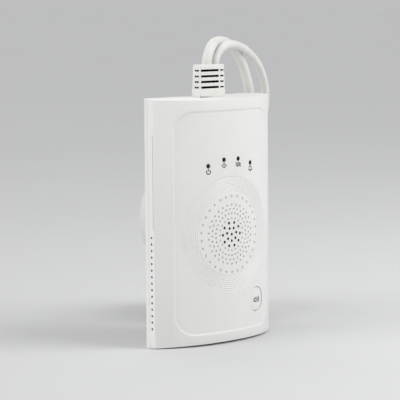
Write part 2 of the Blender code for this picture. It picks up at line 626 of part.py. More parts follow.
# ---------------------------------------------------------------- leads
def smooth_route(points, spacing):
    """Points at an even spacing on a smooth curve through the route's own points, in metres."""
    knots = [Vector(p) * 0.001 for p in points]
    padded = [2 * knots[0] - knots[1], *knots, 2 * knots[-1] - knots[-2]]
    fine = []
    for a, b, c, d in zip(padded, padded[1:], padded[2:], padded[3:], strict=False):
        for step in range(24):
            t = step / 24
            bend = (2 * a - 5 * b + 4 * c - d) * t**2 + (3 * b - a - 3 * c + d) * t**3
            fine.append(0.5 * (2 * b + (c - a) * t + bend))
    fine.append(knots[-1])
    lengths = [0.0]
    for a, b in zip(fine, fine[1:], strict=False):
        lengths.append(lengths[-1] + (b - a).length)
    count = max(2, round(lengths[-1] / spacing))
    even, k = [], 0
    for step in range(count + 1):
        target = lengths[-1] * step / count
        while k < len(lengths) - 2 and lengths[k + 1] < target:
            k += 1
        share = (target - lengths[k]) / max(lengths[k + 1] - lengths[k], 1e-9)
        even.append(fine[k].lerp(fine[k + 1], min(max(share, 0.0), 1.0)))
    return even


def lead(name, points, diameter, material, spacing=1.0):
    """A plain tube along a smooth route. Its first and last stretches stay straight, so that its ends are
    square."""
    line = bpy.data.curves.new(name, "CURVE")
    line.dimensions = "3D"
    line.bevel_depth = diameter / 2
    line.bevel_resolution = 2
    line.use_fill_caps = True
    run = line.splines.new("POLY")
    ends = [Vector(points[0]) * 0.001, Vector(points[-1]) * 0.001]
    route = [ends[0], *smooth_route(points[1:-1], spacing * diameter), ends[1]]
    run.points.add(len(route) - 1)
    for point, place in zip(run.points, route, strict=True):
        point.co = (*place, 1.0)
    line.materials.append(material)
    made = bpy.data.objects.new(name, line)
    bpy.context.scene.collection.objects.link(made)
    return made


def coil(name, radii, heights, material):
    """The outer shape of a wound coil: a turned ring with softened corners."""
    (inner, outer), (low, high), soft = radii, heights, 0.0012
    profile = [
        (inner, low + soft), (inner + soft, low), (outer - soft, low), (outer, low + soft),
        (outer, high - soft), (outer - soft, high), (inner + soft, high), (inner, high - soft),
    ]
    return made_object(name, turned(profile, (*COIL_CENTRE, 0.0), "Z", 40, True), material)


def tie(name, radii, heights, angle, width=0.004):
    """A flat strap closed round the section of a coil."""
    inside = (radii[0] - GAP, radii[1] + GAP, heights[0] - GAP, heights[1] + GAP)
    outside = (inside[0] - TIE, inside[1] + TIE, inside[2] - TIE, inside[3] + TIE)
    made = made_object(name, prism(rectangle(*outside), -width / 2, width / 2, "Y"), BLACK)
    hole = made_object(f"{name}_hole", prism(rectangle(*inside), -width, width, "Y"), BLACK)
    for piece in (made, hole):
        piece.data.transform(Matrix.Rotation(math.radians(angle), 4, "Z"))
        piece.data.transform(Matrix.Translation((*COIL_CENTRE, 0.0)))
    return cut(made, hole)


lead("mains_lead", MAINS_ROUTE, MAINS_LEAD, PVC)
coil("mains_coil", MAINS_COIL_R, MAINS_COIL_Z, PVC)
tie("mains_coil_tie", MAINS_COIL_R, MAINS_COIL_Z, 60.0)
lead("mains_tail", MAINS_TAIL, MAINS_LEAD, PVC)
lead("signal_lead", SIGNAL_ROUTE, SIGNAL_LEAD, PVC)
coil("signal_coil", SIGNAL_COIL_R, SIGNAL_COIL_Z, PVC)
tie("signal_coil_tie", SIGNAL_COIL_R, SIGNAL_COIL_Z, 80.0)


def on_coil(radius, angle):
    turn = math.radians(angle)
    return COIL_CENTRE + Vector((math.cos(turn), math.sin(turn))) * radius


# The signal lead's last stretch turns inwards over the coil, and its connector lies across the coil.
tail_z = SIGNAL_COIL_Z[1] + SIGNAL_LEAD / 2 + GAP
connector_z = SIGNAL_COIL_Z[1] + 0.004 + GAP
TAIL_START = 135.8
TAIL_BEND = 0.012
bend_centre = on_coil(SIGNAL_COIL_R[0] + SIGNAL_LEAD / 2 - TAIL_BEND, TAIL_START)
signal_tail = []
for step in range(13):
    turn = math.radians(TAIL_START + 15.0 * step)
    place = bend_centre + Vector((math.cos(turn), math.sin(turn))) * TAIL_BEND
    rise = min(1.0, step / 9.0) ** 2
    signal_tail.append((place.x * 1000, place.y * 1000, (tail_z + (connector_z - tail_z) * rise) * 1000))
heading = math.radians(TAIL_START + 180.0 + 90.0)
tail_end = Vector(signal_tail[-1]) * 0.001 + Vector((math.cos(heading), math.sin(heading), 0.0)) * 0.001
signal_tail.append(tuple(tail_end * 1000))
lead("signal_tail", signal_tail, SIGNAL_LEAD, PVC)
connector_profile = [
    (0.0, 0.0), (0.0026, 0.0), (0.0034, 0.0060), (0.0040, 0.0070), (0.0040, 0.0200), (0.0030, 0.0204),
    (0.0030, 0.0270), (0.0, 0.0270),
]
connector = made_object("signal_connector", turned(connector_profile, (0.0, 0.0, GAP), "Z", 20), BLACK)
socket = made_object("connector_socket", rod(0.0, 0.0, 0.0022, 0.0216 + GAP, 0.0290 + GAP, "Z", 16), BLACK)
laid = Matrix.Translation(tail_end) @ Matrix.Rotation(heading, 4, "Z") @ Matrix.Rotation(math.pi / 2, 4, "Y")
contact = made_object("connector_contact", rod(0.0, 0.0, 0.0006, 0.0221, 0.0262, "Z", 10), BRASS)
for piece in (connector, socket, contact):
    piece.data.transform(laid)
cut(connector, socket)

# ---------------------------------------------------------------- mains plug
PLUG_REAR = 0.031
PLUG_FACE = 0.004
PLUG_HALF_WIDTH = 0.011
PLUG_HALF_HEIGHT = 0.006
plug_outline = [
    (PLUG_FACE, PLUG_Y - PLUG_HALF_WIDTH), (0.022, PLUG_Y - PLUG_HALF_WIDTH), (PLUG_REAR, PLUG_Y - 0.0062),
    (PLUG_REAR, PLUG_Y + 0.0062), (0.022, PLUG_Y + PLUG_HALF_WIDTH), (PLUG_FACE, PLUG_Y + PLUG_HALF_WIDTH),
]
plug = prism(plug_outline, PLUG_Z - PLUG_HALF_HEIGHT, PLUG_Z + PLUG_HALF_HEIGHT)
plug = made_object("plug_body", plug, PVC)
plug_edge = plug.modifiers.new("edges", "BEVEL")
plug_edge.width = 0.0014
plug_edge.segments = 2
relief = [(0.0, 0.030), (0.0046, 0.030), (0.0046, 0.0325), (0.0031, 0.0430), (0.0, 0.0430)]
unite(plug, made_object("plug_relief", turned(relief, (0.0, PLUG_Y, PLUG_Z), "X", 20), PVC))
for number, offset in enumerate((-0.00635, 0.00635), 1):
    side = PLUG_Y + offset
    half_thick, half_wide, seated = 0.00075, 0.0032, PLUG_FACE + 0.004
    blade = box(-0.013, seated, side - half_thick, side + half_thick, PLUG_Z - half_wide, PLUG_Z + half_wide)
    half_thick, half_wide = half_thick + GAP, half_wide + GAP
    seat = box(PLUG_FACE - 0.002, seated + GAP, side - half_thick, side + half_thick,
               PLUG_Z - half_wide, PLUG_Z + half_wide)
    cut(plug, made_object(f"blade_seat_{number}", seat, PVC))
    blade = made_object(f"plug_blade_{number}", blade, BRASS)
    blade_edge = blade.modifiers.new("edges", "BEVEL")
    blade_edge.width = 0.0004
    blade_edge.segments = 1

# ---------------------------------------------------------------- leads inside the casing
INNER_TOP = (HEIGHT - WALL - 0.0030 - GAP) * 1000
MAINS_INNER = [
    (-2.6, -2.8, INNER_TOP), (-2.6, -2.8, INNER_TOP - 1.0), (-3.4, -4.0, INNER_TOP - 3.0),
    (-5.4, -7.0, INNER_TOP - 4.6), (-6.8, -8.6, INNER_TOP - 6.0), (-7.0, -8.8, 107.8),
]
SIGNAL_INNER = [
    (4.4, -2.8, INNER_TOP), (4.4, -2.8, INNER_TOP - 1.0), (4.9, -4.0, INNER_TOP - 3.0),
    (6.2, -6.6, INNER_TOP - 4.6), (6.9, -7.7, INNER_TOP - 6.0), (7.0, -7.8, 107.3),
]
lead("mains_inner_lead", MAINS_INNER, 0.003, PVC, 0.7)
lead("signal_inner_lead", SIGNAL_INNER, 0.0024, PVC, 0.7)

# ---------------------------------------------------------------- wall bracket, on its twist axis
cup = [
    (0.0, BRACKET_BACK), (BRACKET_RADIUS - 0.0012, BRACKET_BACK), (BRACKET_RADIUS, BRACKET_BACK - 0.0012),
    (BRACKET_RADIUS, BRACKET_FRONT + 0.0008), (BRACKET_RADIUS - 0.0008, BRACKET_FRONT), (0.0232, BRACKET_FRONT),
    (0.0232, BRACKET_BACK - 0.0025), (0.0, BRACKET_BACK - 0.0025),
]
bracket = made_object("wall_bracket", turned(cup, (0.0, 0.0, MID_Z), sides=56), WHITE)
for number, middle in enumerate(LUG_ANGLES):
    lug = sector(0.0206, 0.0240, middle, LUG_SPREAD, BRACKET_FRONT, BRACKET_FRONT + 0.0020)
    unite(bracket, made_object(f"bracket_lug_{number}", lug, WHITE))
screw_slots = []
for x in (-0.0135, 0.0135):
    outline = rounded(x - 0.00195, x + 0.00195, MID_Z - 0.005, MID_Z + 0.005, 0.0019, 4)
    screw_slots.append(prism(outline, BRACKET_BACK - 0.004, BRACKET_BACK + 0.001, "Y"))
cut(bracket, made_object("wall_screw_slots", merged(screw_slots), WHITE))
moved_to(bracket, 0.0, BRACKET_BACK, MID_Z)
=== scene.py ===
"""The looks of a tall alarm with a siren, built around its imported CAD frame: moulded casing, drilled and
grooved siren grille, indicators, test button, ribbed strain relief, two leads with their coils, plug and
bracket. Everything is in metres in the frame's own axes: +Z up, the bowed front faces -Y."""

import math

import bmesh
import bpy
from mathutils import Matrix, Vector


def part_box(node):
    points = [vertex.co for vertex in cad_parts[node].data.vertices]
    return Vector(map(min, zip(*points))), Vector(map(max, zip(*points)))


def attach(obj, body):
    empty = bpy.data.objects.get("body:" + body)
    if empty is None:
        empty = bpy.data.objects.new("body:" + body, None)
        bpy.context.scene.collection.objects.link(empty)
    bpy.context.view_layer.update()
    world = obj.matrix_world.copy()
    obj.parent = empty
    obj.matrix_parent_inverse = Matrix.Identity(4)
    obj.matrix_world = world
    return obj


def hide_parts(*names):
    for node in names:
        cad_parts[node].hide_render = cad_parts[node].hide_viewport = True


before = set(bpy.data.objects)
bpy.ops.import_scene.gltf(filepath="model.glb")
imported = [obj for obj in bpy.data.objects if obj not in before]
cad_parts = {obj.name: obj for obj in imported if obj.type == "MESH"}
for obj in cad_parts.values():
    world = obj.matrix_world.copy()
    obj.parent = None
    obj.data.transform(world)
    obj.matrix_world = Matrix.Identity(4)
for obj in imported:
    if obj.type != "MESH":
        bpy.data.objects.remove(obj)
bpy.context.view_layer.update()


def middle(node):
    """The middle of a CAD node's box, as x, y and z."""
    return [(low + high) / 2 for low, high in zip(*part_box(node), strict=True)]


# ---------------- sizes of the casing
front_low, front_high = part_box("front_cover")
HALF = front_high.x
FRONT_Y = front_low.y
SEAM_Y = front_high.y
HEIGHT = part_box("rear_cover")[1].z
WALL = 0.002
GAP = 0.0003
LAP = 0.0002
EDGE_ROUNDING = 0.0003
PAST = 0.001  # how far a cutting tool reaches past a surface
TOP_DROP = 0.0010
FOOT_RISE = 0.0011
SEAM_LIP = 0.0001
FACE_RADIUS = 0.085
FACE_QUARTIC = 1626.0

PANEL_RECESS = 0.0004
PANEL_SLOPE = 0.0010
PANEL_HALF_WIDTH = 0.0315
PANEL_BOTTOM = 0.0059
PANEL_TOP = 0.1139
PANEL_CORNER = 0.0095
PANEL_CORNER_STEPS = 14
PANEL_LEVEL_STEPS = 64
CREASE_ANGLE = 10.0
CREASE_MARGIN = 0.003
INDICATORS = [middle(f"light_pipe_{number}") for number in range(1, 5)]
INDICATOR_HOLE = 0.00122

VENT_Y = FRONT_Y + 0.0156
VENT_COUNT = 15
VENT_FIRST = 0.0096
VENT_PITCH = 0.00316
VENT_RADIUS = 0.00065
VENT_SKIN = 0.0008
VENT_POCKET = (0.0075, 0.0560)
VENT_POCKET_HALF = 0.0011
SIDE_GROOVE = (0.0575, 0.1030)
SIDE_GROOVE_ACROSS = (0.0004, 0.00075)
SIDE_GROOVE_DEPTH = 0.0003

# Rings of the siren's grille: how many, at what radius, and the first one's angle in degrees.
SIREN_Z = middle("siren_frame")[2]
GRILLE_EDGE = 0.0286
GRILLE_SIDES = 192
DRILLED = ((1, 0.0, 0.0), (7, 0.0032, 167.4), (10, 0.00585, 180.4))
DRILLED_RADIUS = 0.00072
RING_PITCH = 0.001
DIMPLED = ((20, 0.00785, 0.0), (30, 0.0103, 6.0), (30, 0.0125, 0.0), (30, 0.0145, 6.0))
DIMPLED_RADIUS = 0.00052
DIMPLED_DEPTH = 0.0006
OUTER_DIMPLED = ((30, 0.0187, 6.0),)
OUTER_DIMPLED_RADIUS = 0.00068
OUTER_DIMPLED_DEPTH = 0.0005
WEB_EDGE = 0.0067
WEB_STEP = 0.0004
WEB_THICKNESS = 0.0003
GRILLE_THICKNESS = 0.0014
GROOVED_FROM = 0.0196
GROOVE_FIRST = 0.0208
GROOVE_PITCH = 0.00102
GROOVE_COUNT = 8
GROOVE_DEPTH = 0.00022

# ---------------- sizes of the test button and the signs
BUTTON_X, _, BUTTON_Z = middle("test_button")
BUTTON_END_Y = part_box("test_button")[1].y
BUTTON_RADIUS = 0.0059
CAP_INSET = PANEL_RECESS + 0.00025
CAP_ROUNDING = 0.00045
CAP_BACK = 0.0030
COLLAR_RADIUS = 0.0072
COLLAR_BACK = 0.0034
STEM_RADIUS = 0.0020
STEM_FROM_Y = FRONT_Y + 0.0050
SIGN_DROP = 0.0028
SIGN_LINE = 0.0005
BUTTON_SIGN_LINE = 0.0007
INK_ABOVE = 0.00003
INK_BELOW = 0.0002

# ---------------- sizes of the strain relief
boot_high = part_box("cable_boot")[1]
BOOT_Y = middle("cable_boot")[1]
BOOT_TOP = boot_high.z
BOOT_HALF_X = boot_high.x
BOOT_HALF_Y = 0.0031
BOOT_TOP_HALF_X = 0.0083
BOOT_TOP_HALF_Y = 0.0029
BOOT_BASE = 0.0030
BOOT_STEP_TOP = 0.0036
BOOT_SHOULDER = 0.0009
BOOT_ROUNDING = 0.0004
BOOT_LIFT = 0.00004
BOOT_NOTCH = (-0.0086, 0.0010)
BOOT_NOTCH_DEEP = 0.0012
BOOT_NOTCH_OPEN = 0.0006
BOOT_NOTCH_SINK = 0.0003
BOOT_SLOT_Z = (0.1248, 0.1275, 0.1302, 0.1330)
BOOT_SLOT_HALF = 0.00054
BOOT_SLOT_DEEP = 0.0023
BOOT_END_SLOT_DEEP = 0.0018
NECK_DOWN = 0.0010
FLANGE_DOWN = 0.0030
GATE_HALF_X = BOOT_HALF_X - 0.0013
GATE_HALF_Y = BOOT_HALF_Y - 0.0004

# ---------------- sizes of the leads and their coils
# Angles about the coils' axis are in degrees.
MAINS_LEAD = 0.005
SIGNAL_LEAD = 0.004
mains_low, mains_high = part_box("mains_coil")
signal_low, signal_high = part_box("signal_coil")
COIL_CENTRE = Vector(middle("mains_coil")[:2])
SPACING = 0.0012
TURN_STEP = 3.0
LANDING = 40.0
MOVE = 30.0
FIRST_MOVE = 285.0
INWARD_FROM = 0.6
WANDER = 0.012
WANDER_RATE = 1.7
MAINS_TURNS = 7
MAINS_LEAVES_AT = -88.0
SIGNAL_TURNS = 5
SIGNAL_RISE = 45.0
TAIL_START = 135.8
TAIL_BEND = 0.012
TAIL_RISE = 135.0
TAIL_STRAIGHT = 0.0013

# ---------------- camera
EYE = Vector((-0.65755, -0.67494, 0.16535))
TURN = 0.770
TIP = 0.102
ROLL = -0.008
SENSOR = 36.0
LENS = 172.5


def aim_camera():
    """Looks from the eye at the front left of the object: turned about Z, tipped down and slightly rolled."""
    back = Vector((-math.sin(TURN) * math.cos(TIP), -math.cos(TURN) * math.cos(TIP), math.sin(TIP)))
    right = (-back).cross(Vector((0.0, 0.0, 1.0))).normalized()
    up = right.cross(-back)
    right, up = (
        math.cos(ROLL) * right + math.sin(ROLL) * up,
        math.cos(ROLL) * up - math.sin(ROLL) * right,
    )
    lens = bpy.data.cameras.new("view_camera")
    lens.sensor_width = SENSOR
    lens.lens = LENS
    lens.clip_start = 0.05
    lens.clip_end = 200.0
    camera = bpy.data.objects.new("view_camera", lens)
    bpy.context.scene.collection.objects.link(camera)
    turn = Matrix((right, up, back)).transposed()
    camera.matrix_world = Matrix.Translation(EYE) @ turn.to_4x4()
    bpy.context.scene.camera = camera


aim_camera()


# ---------------- finishes
class Finish:
    """A material in the making: its Principled shader and the procedural nodes that feed it."""

    def __init__(self, name, colour, roughness, metallic=0.0):
        self.material = bpy.data.materials.new(name)
        self.material.use_nodes = True
        self.tree = self.material.node_tree
        self.shader = self.tree.nodes["Principled BSDF"]
        self.colour = colour
        self.roughness = roughness
        self.set("Base Color", (*colour, 1.0))
        self.set("Roughness", roughness)
        self.set("Metallic", metallic)
        self.place = self.add("ShaderNodeTexCoord").outputs["Object"]
        self.bump_chain = None

    def set(self, socket, value):
        """Sets one of the shader's inputs."""
        self.shader.inputs[socket].default_value = value

    def add(self, kind):
        return self.tree.nodes.new(kind)

    def join(self, out, into):
        self.tree.links.new(out, into)

    def node(self, kind, values, place=None):
        """A node with its inputs' values, fed with a place: the object's own coordinates unless told."""
        made = self.add(kind)
        for socket, value in values.items():
            made.inputs[socket].default_value = value
        self.join(self.place if place is None else place, made.inputs["Vector"])
        return made

    def noise(self, size, detail=4.0, rough=0.55, stretch=None):
        """A noise whose features are about size metres across."""
        place = self.node("ShaderNodeMapping", {"Scale": stretch}).outputs["Vector"] if stretch else None
        values = {"Scale": 1.0 / size, "Detail": detail, "Roughness": rough}
        return self.node("ShaderNodeTexNoise", values, place).outputs["Fac"]

    def ramp(self, value, low, high, at=(0.3, 0.7)):
        """Maps a 0 to 1 value to a colour between two."""
        made = self.add("ShaderNodeValToRGB")
        for element, position, colour in zip(made.color_ramp.elements, at, (low, high), strict=True):
            element.position = position
            element.color = (*colour, 1.0)
        self.join(value, made.inputs["Fac"])
        return made.outputs["Color"]

    def bands(self, direction, scale, distortion, low, high):
        """Colours the material in bands between two colours, and returns their 0 to 1 value."""
        wave = self.node("ShaderNodeTexWave", {"Scale": scale, "Distortion": distortion})
        wave.wave_type = "BANDS"
        wave.bands_direction = direction
        self.join(self.ramp(wave.outputs["Fac"], low, high), self.shader.inputs["Base Color"])
        return wave.outputs["Fac"]

    def vary_colour(self, value, amount, tint=(1.0, 1.0, 1.0), at=(0.3, 0.7)):
        """Lets the colour darken by a share of itself where a 0 to 1 value is low."""
        low = tuple(c * (1.0 - amount) * t for c, t in zip(self.colour, tint, strict=True))
        high = tuple(min(1.0, c * (1.0 + amount * 0.5)) for c in self.colour)
        self.join(self.ramp(value, low, high, at), self.shader.inputs["Base Color"])

    def vary_roughness(self, value, amount):
        """Lets the roughness rise and fall by an amount with a 0 to 1 value."""
        low = max(0.02, self.roughness - amount)
        high = min(1.0, self.roughness + amount)
        self.join(self.ramp(value, (low,) * 3, (high,) * 3), self.shader.inputs["Roughness"])

    def bump(self, value, height, strength):
        """Adds a relief of so many metres over the reliefs already there."""
        node = self.add("ShaderNodeBump")
        node.inputs["Distance"].default_value = height
        node.inputs["Strength"].default_value = strength
        self.join(value, node.inputs["Height"])
        if self.bump_chain is not None:
            self.join(self.bump_chain, node.inputs["Normal"])
        self.bump_chain = node.outputs["Normal"]
        self.join(self.bump_chain, self.shader.inputs["Normal"])


def moulded(name, colour, roughness, grain=0.0006, relief=0.000004, tone=0.02):
    """Moulded plastic: a fine spark-eroded grain, slow changes of tone and slightly uneven gloss."""
    made = Finish(name, colour, roughness)
    made.vary_colour(made.noise(0.03, 3.0), tone, (1.0, 0.998, 0.99))
    made.vary_roughness(made.noise(0.006, 4.0), 0.06)
    made.bump(made.noise(grain, 2.0), relief, 0.6)
    made.bump(made.noise(0.012, 1.0), relief * 2.0, 0.25)
    return made


def white_casing():
    """The casing's off-white moulding, which lets a little light in."""
    made = moulded("moulded_white", (0.80, 0.80, 0.785), 0.40)
    made.set("Specular IOR Level", 0.45)
    made.set("Subsurface Weight", 0.06)
    made.set("Subsurface Radius", (0.0016, 0.0015, 0.0013))
    made.set("Subsurface Scale", 1.0)
    return made.material


def soft_pvc(name, colour):
    """Soft PVC: a fine grain, with slow changes of tone and gloss."""
    made = Finish(name, colour, 0.42)
    made.vary_colour(made.noise(0.009, 4.0), 0.035, (1.0, 0.995, 0.98))
    made.vary_roughness(made.noise(0.003, 3.0), 0.08)
    made.bump(made.noise(0.0008, 3.0), 0.000012, 0.5)
    made.set("Specular IOR Level", 0.4)
    return made.material


def smoked():
    """The nearly black acrylic of the light pipes."""
    made = Finish("smoked_acrylic", (0.006, 0.006, 0.007), 0.28)
    made.vary_colour(made.noise(0.0009, 2.0), 0.4)
    made.vary_roughness(made.noise(0.0006, 2.0), 0.05)
    made.set("Specular IOR Level", 0.25)
    return made.material


def painted_slot_shade():
    """Painted shade: a near-black finish that stands in for the shadow deep in the strain relief's slots."""
    made = Finish("painted_slot_shade", (0.012, 0.012, 0.013), 0.85)
    made.vary_colour(made.noise(0.0006, 3.0), 0.3)
    made.bump(made.noise(0.0004, 3.0), 0.00003, 0.6)
    made.set("Specular IOR Level", 0.1)
    return made.material


def ink():
    """Printed ink, slightly uneven."""
    made = Finish("printed_ink", (0.055, 0.055, 0.06), 0.6)
    made.vary_colour(made.noise(0.0004, 3.0), 0.35)
    made.bump(made.noise(0.0002, 2.0), 0.000003, 0.5)
    return made.material


def circuit_mask():
    """Green solder mask with faint copper runs under it."""
    made = Finish("solder_mask", (0.012, 0.115, 0.045), 0.32)
    upright = made.node("ShaderNodeMapping", {"Rotation": (math.radians(90.0), 0.0, 0.0)}).outputs["Vector"]
    runs = made.node("ShaderNodeTexBrick", {
        "Scale": 180.0, "Mortar Size": 0.09, "Color1": (0.010, 0.105, 0.040, 1.0),
        "Color2": (0.013, 0.125, 0.050, 1.0), "Mortar": (0.030, 0.210, 0.085, 1.0),
    }, upright)
    made.join(runs.outputs["Color"], made.shader.inputs["Base Color"])
    made.bump(runs.outputs["Fac"], 0.00003, 0.5)
    made.vary_roughness(made.noise(0.004), 0.07)
    return made.material


def metal(name, colour, roughness, streak=(1.0, 1.0, 1.0)):
    """Metal with fine tool marks, drawn out where streak's numbers differ, and a little tarnish."""
    made = Finish(name, colour, roughness, 1.0)
    made.vary_colour(made.noise(0.003, 5.0), 0.15)
    made.vary_roughness(made.noise(0.0012, 4.0, 0.6, streak), 0.1)
    made.bump(made.noise(0.0006, 4.0, 0.6, streak), 0.000008, 0.5)
    return made.material


def winding_tape():
    """Amber tape wound in bands."""
    made = Finish("winding_tape", (0.72, 0.40, 0.04), 0.35)
    made.bump(made.bands("Z", 260.0, 0.6, (0.50, 0.24, 0.02), (0.78, 0.46, 0.06)), 0.00006, 0.6)
    return made.material


def laminate():
    """A core of stacked sheets: fine dark bands."""
    made = Finish("core_laminate", (0.10, 0.10, 0.11), 0.5, 0.7)
    made.bump(made.bands("Y", 420.0, 0.3, (0.05, 0.05, 0.055), (0.17, 0.17, 0.18)), 0.00005, 0.6)
    made.vary_roughness(made.noise(0.002), 0.12)
    return made.material


def cone_paper():
    """Dark pressed paper with coarse fibres."""
    made = Finish("pressed_paper", (0.03, 0.028, 0.026), 0.9)
    made.vary_colour(made.noise(0.0012, 5.0), 0.35)
    made.bump(made.noise(0.0004, 5.0), 0.00004, 0.8)
    return made.material


def foam():
    """Open-celled foam."""
    made = Finish("cell_foam", (0.045, 0.045, 0.05), 0.95)
    cells = made.node("ShaderNodeTexVoronoi", {"Scale": 1600.0})
    made.vary_colour(cells.outputs["Distance"], 0.5, at=(0.1, 0.6))
    made.bump(cells.outputs["Distance"], 0.0001, 0.8)
    return made.material


def glossy_case(name, colour):
    """A component's glossy moulded case."""
    return moulded(name, colour, 0.3, 0.0004, 0.000004, 0.12).material


def ceramic():
    """Glazed ceramic, slightly yellowed."""
    made = Finish("fuse_ceramic", (0.78, 0.76, 0.68), 0.4)
    made.vary_colour(made.noise(0.002, 4.0), 0.08, (1.0, 0.98, 0.93))
    made.bump(made.noise(0.0006, 3.0), 0.00001, 0.6)
    return made.material


def clear_epoxy():
    """The clear resin of a small lamp."""
    made = Finish("clear_epoxy", (0.72, 0.78, 0.78), 0.12)
    made.set("Transmission Weight", 0.5)
    made.set("IOR", 1.5)
    made.vary_colour(made.noise(0.0015), 0.06)
    made.vary_roughness(made.noise(0.001), 0.04)
    return made.material


WHITE = white_casing()
# The bracket is a separate moulding drawn darker than the casing's white, which paints in the shade it lies
# in behind the casing.
SHADED_BRACKET_WHITE = moulded("bracket_white_painted_shade", (0.68, 0.68, 0.67), 0.5).material
CORD_PVC = soft_pvc("cord_pvc", (0.735, 0.73, 0.71))
BOOT_PVC = soft_pvc("boot_pvc", (0.775, 0.77, 0.75))
SMOKED = smoked()
# painted shade for the bottoms of the strain relief's slots
SLOT_PAINTED_SHADE = painted_slot_shade()
INK = ink()
BLACK = moulded("black_moulding", (0.022, 0.022, 0.024), 0.45, 0.0005, 0.000008, 0.25).material
MASK = circuit_mask()
STEEL = metal("zinc_steel", (0.60, 0.60, 0.61), 0.3)
BRASS = metal("blade_brass", (0.74, 0.58, 0.27), 0.26, (1.0, 8.0, 8.0))
TAPE = winding_tape()
LAMINATE = laminate()
PAPER = cone_paper()
FOAM = foam()
BLUE = glossy_case("relay_blue", (0.03, 0.12, 0.42))
HEADER = glossy_case("header_white", (0.72, 0.71, 0.66))
TERMINAL = glossy_case("terminal_green", (0.03, 0.26, 0.10))
CERAMIC = ceramic()
EPOXY = clear_epoxy()

CAD_FINISHES = {
    "rear_cover": WHITE, "wall_bracket": SHADED_BRACKET_WHITE, "main_board": MASK, "microcontroller": BLACK,
    "relay": BLUE, "terminal_block": TERMINAL, "signal_header": HEADER, "switch_body": BLACK,
    "switch_plunger": BLACK, "transformer_core": LAMINATE, "transformer_winding": TAPE,
    "sensor_base": BLACK, "gas_sensor": STEEL, "fuse": CERAMIC, "varistor": BLUE,
    "siren_gasket": FOAM, "siren_frame": BLACK, "siren_cone": PAPER, "siren_magnet": LAMINATE,
    "mains_inner_lead": CORD_PVC, "signal_inner_lead": CORD_PVC, "plug_body": BOOT_PVC,
    "signal_connector": BLACK, "connector_contact": BRASS, "capacitor_1": BLACK, "capacitor_2": BLACK,
    "plug_blade_1": BRASS, "plug_blade_2": BRASS,
}
FINISHES_OF_FOURS = {
    "case_screw": STEEL, "board_screw": STEEL, "light_pipe": SMOKED, "indicator_led": EPOXY,
}
for kind, finish in FINISHES_OF_FOURS.items():
    for number in range(1, 5):
        CAD_FINISHES[f"{kind}_{number}"] = finish


def paint(node, finish):
    """Gives a CAD node its finish."""
    node.data.materials.clear()
    node.data.materials.append(finish)


for name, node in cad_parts.items():
    paint(node, CAD_FINISHES.get(name, WHITE))


# ---------------- mesh helpers
def face_y(x, inset=0.0):
    """The y of the bowed front at x, so far behind its surface."""
    return FRONT_Y + inset + FACE_RADIUS - math.sqrt(FACE_RADIUS**2 - x * x) + FACE_QUARTIC * x**4


def new_object(name, shape, finish, smooth=35.0):
    """A piece from a bmesh, with its finish and with edges sharper than the angle smooth kept sharp."""
    bmesh.ops.recalc_face_normals(shape, faces=shape.faces)
    mesh = bpy.data.meshes.new(name)
    shape.to_mesh(mesh)
    shape.free()
    if finish:
        mesh.materials.append(finish)
    if smooth:
        mesh.shade_smooth()
        mesh.set_sharp_from_angle(angle=math.radians(smooth))
    piece = bpy.data.objects.new(name, mesh)
    bpy.context.scene.collection.objects.link(piece)
    return piece


def applied(piece):
    """Turns a piece's modifiers into its own mesh."""
    bpy.context.view_layer.update()
    depsgraph = bpy.context.evaluated_depsgraph_get()
    mesh = bpy.data.meshes.new_from_object(piece.evaluated_get(depsgraph))
    piece.modifiers.clear()
    piece.data = mesh
    return piece


def combine(piece, tool, operation="DIFFERENCE"):
    """Applies a Boolean with a bmesh or another piece, which is then thrown away."""
    if isinstance(tool, bmesh.types.BMesh):
        tool = new_object("tool", tool, None, 0)
    step = piece.modifiers.new("step", "BOOLEAN")
    step.operation = operation
    step.solver = "EXACT"
    step.object = tool
    applied(piece)
    bpy.data.objects.remove(tool, do_unlink=True)
    return piece


def sharpen(piece, angle=35.0):
    """Shades a piece smooth, but for the edges sharper than an angle."""
    piece.data.shade_smooth()
    piece.data.set_sharp_from_angle(angle=math.radians(angle))
    return piece


def soften(piece, width, segments=2, angle=50.0):
    """Rounds the edges that are sharper than an angle."""
    step = piece.modifiers.new("round", "BEVEL")
    step.width = width
    step.segments = segments
    step.limit_method = "ANGLE"
    step.angle_limit = math.radians(angle)
    step.harden_normals = False
    applied(piece)
    return sharpen(piece)


def prism(outline, low, high, axis="Z"):
    """A closed outline extruded along an axis. The outline is (x, y) for Z, (x, z) for Y and (y, z) for X."""
    place = {
        "Z": lambda a, b, h: (a, b, h),
        "Y": lambda a, b, h: (a, h, b),
        "X": lambda a, b, h: (h, a, b),
    }[axis]
    shape = bmesh.new()
    rows = [[shape.verts.new(place(a, b, h)) for a, b in outline] for h in (low, high)]
    shape.faces.new(rows[0])
    shape.faces.new(list(reversed(rows[1])))
    for k in range(len(outline)):
        after = (k + 1) % len(outline)
        shape.faces.new((rows[0][k], rows[1][k], rows[1][after], rows[0][after]))
    return shape


def rounded(a_low, a_high, b_low, b_high, radius, steps):
    """A rectangle's outline with round corners of so many steps, from the lower right one on."""
    points = []
    corners = (
        (a_high - radius, b_low + radius, -90), (a_high - radius, b_high - radius, 0),
        (a_low + radius, b_high - radius, 90), (a_low + radius, b_low + radius, 180),
    )
    for a, b, start in corners:
        for step in range(steps + 1):
            turn = math.radians(start + 90.0 * step / steps)
            points.append((a + radius * math.cos(turn), b + radius * math.sin(turn)))
    return points


def circle(a, b, radius, sides):
    """A circle's outline."""
    turns = [2 * math.pi * (k + 0.5) / sides for k in range(sides)]
    return [(a + radius * math.cos(t), b + radius * math.sin(t)) for t in turns]


def rod(a, b, radius, low, high, axis, sides):
    """A round bar along an axis."""
    return prism(circle(a, b, radius, sides), low, high, axis)


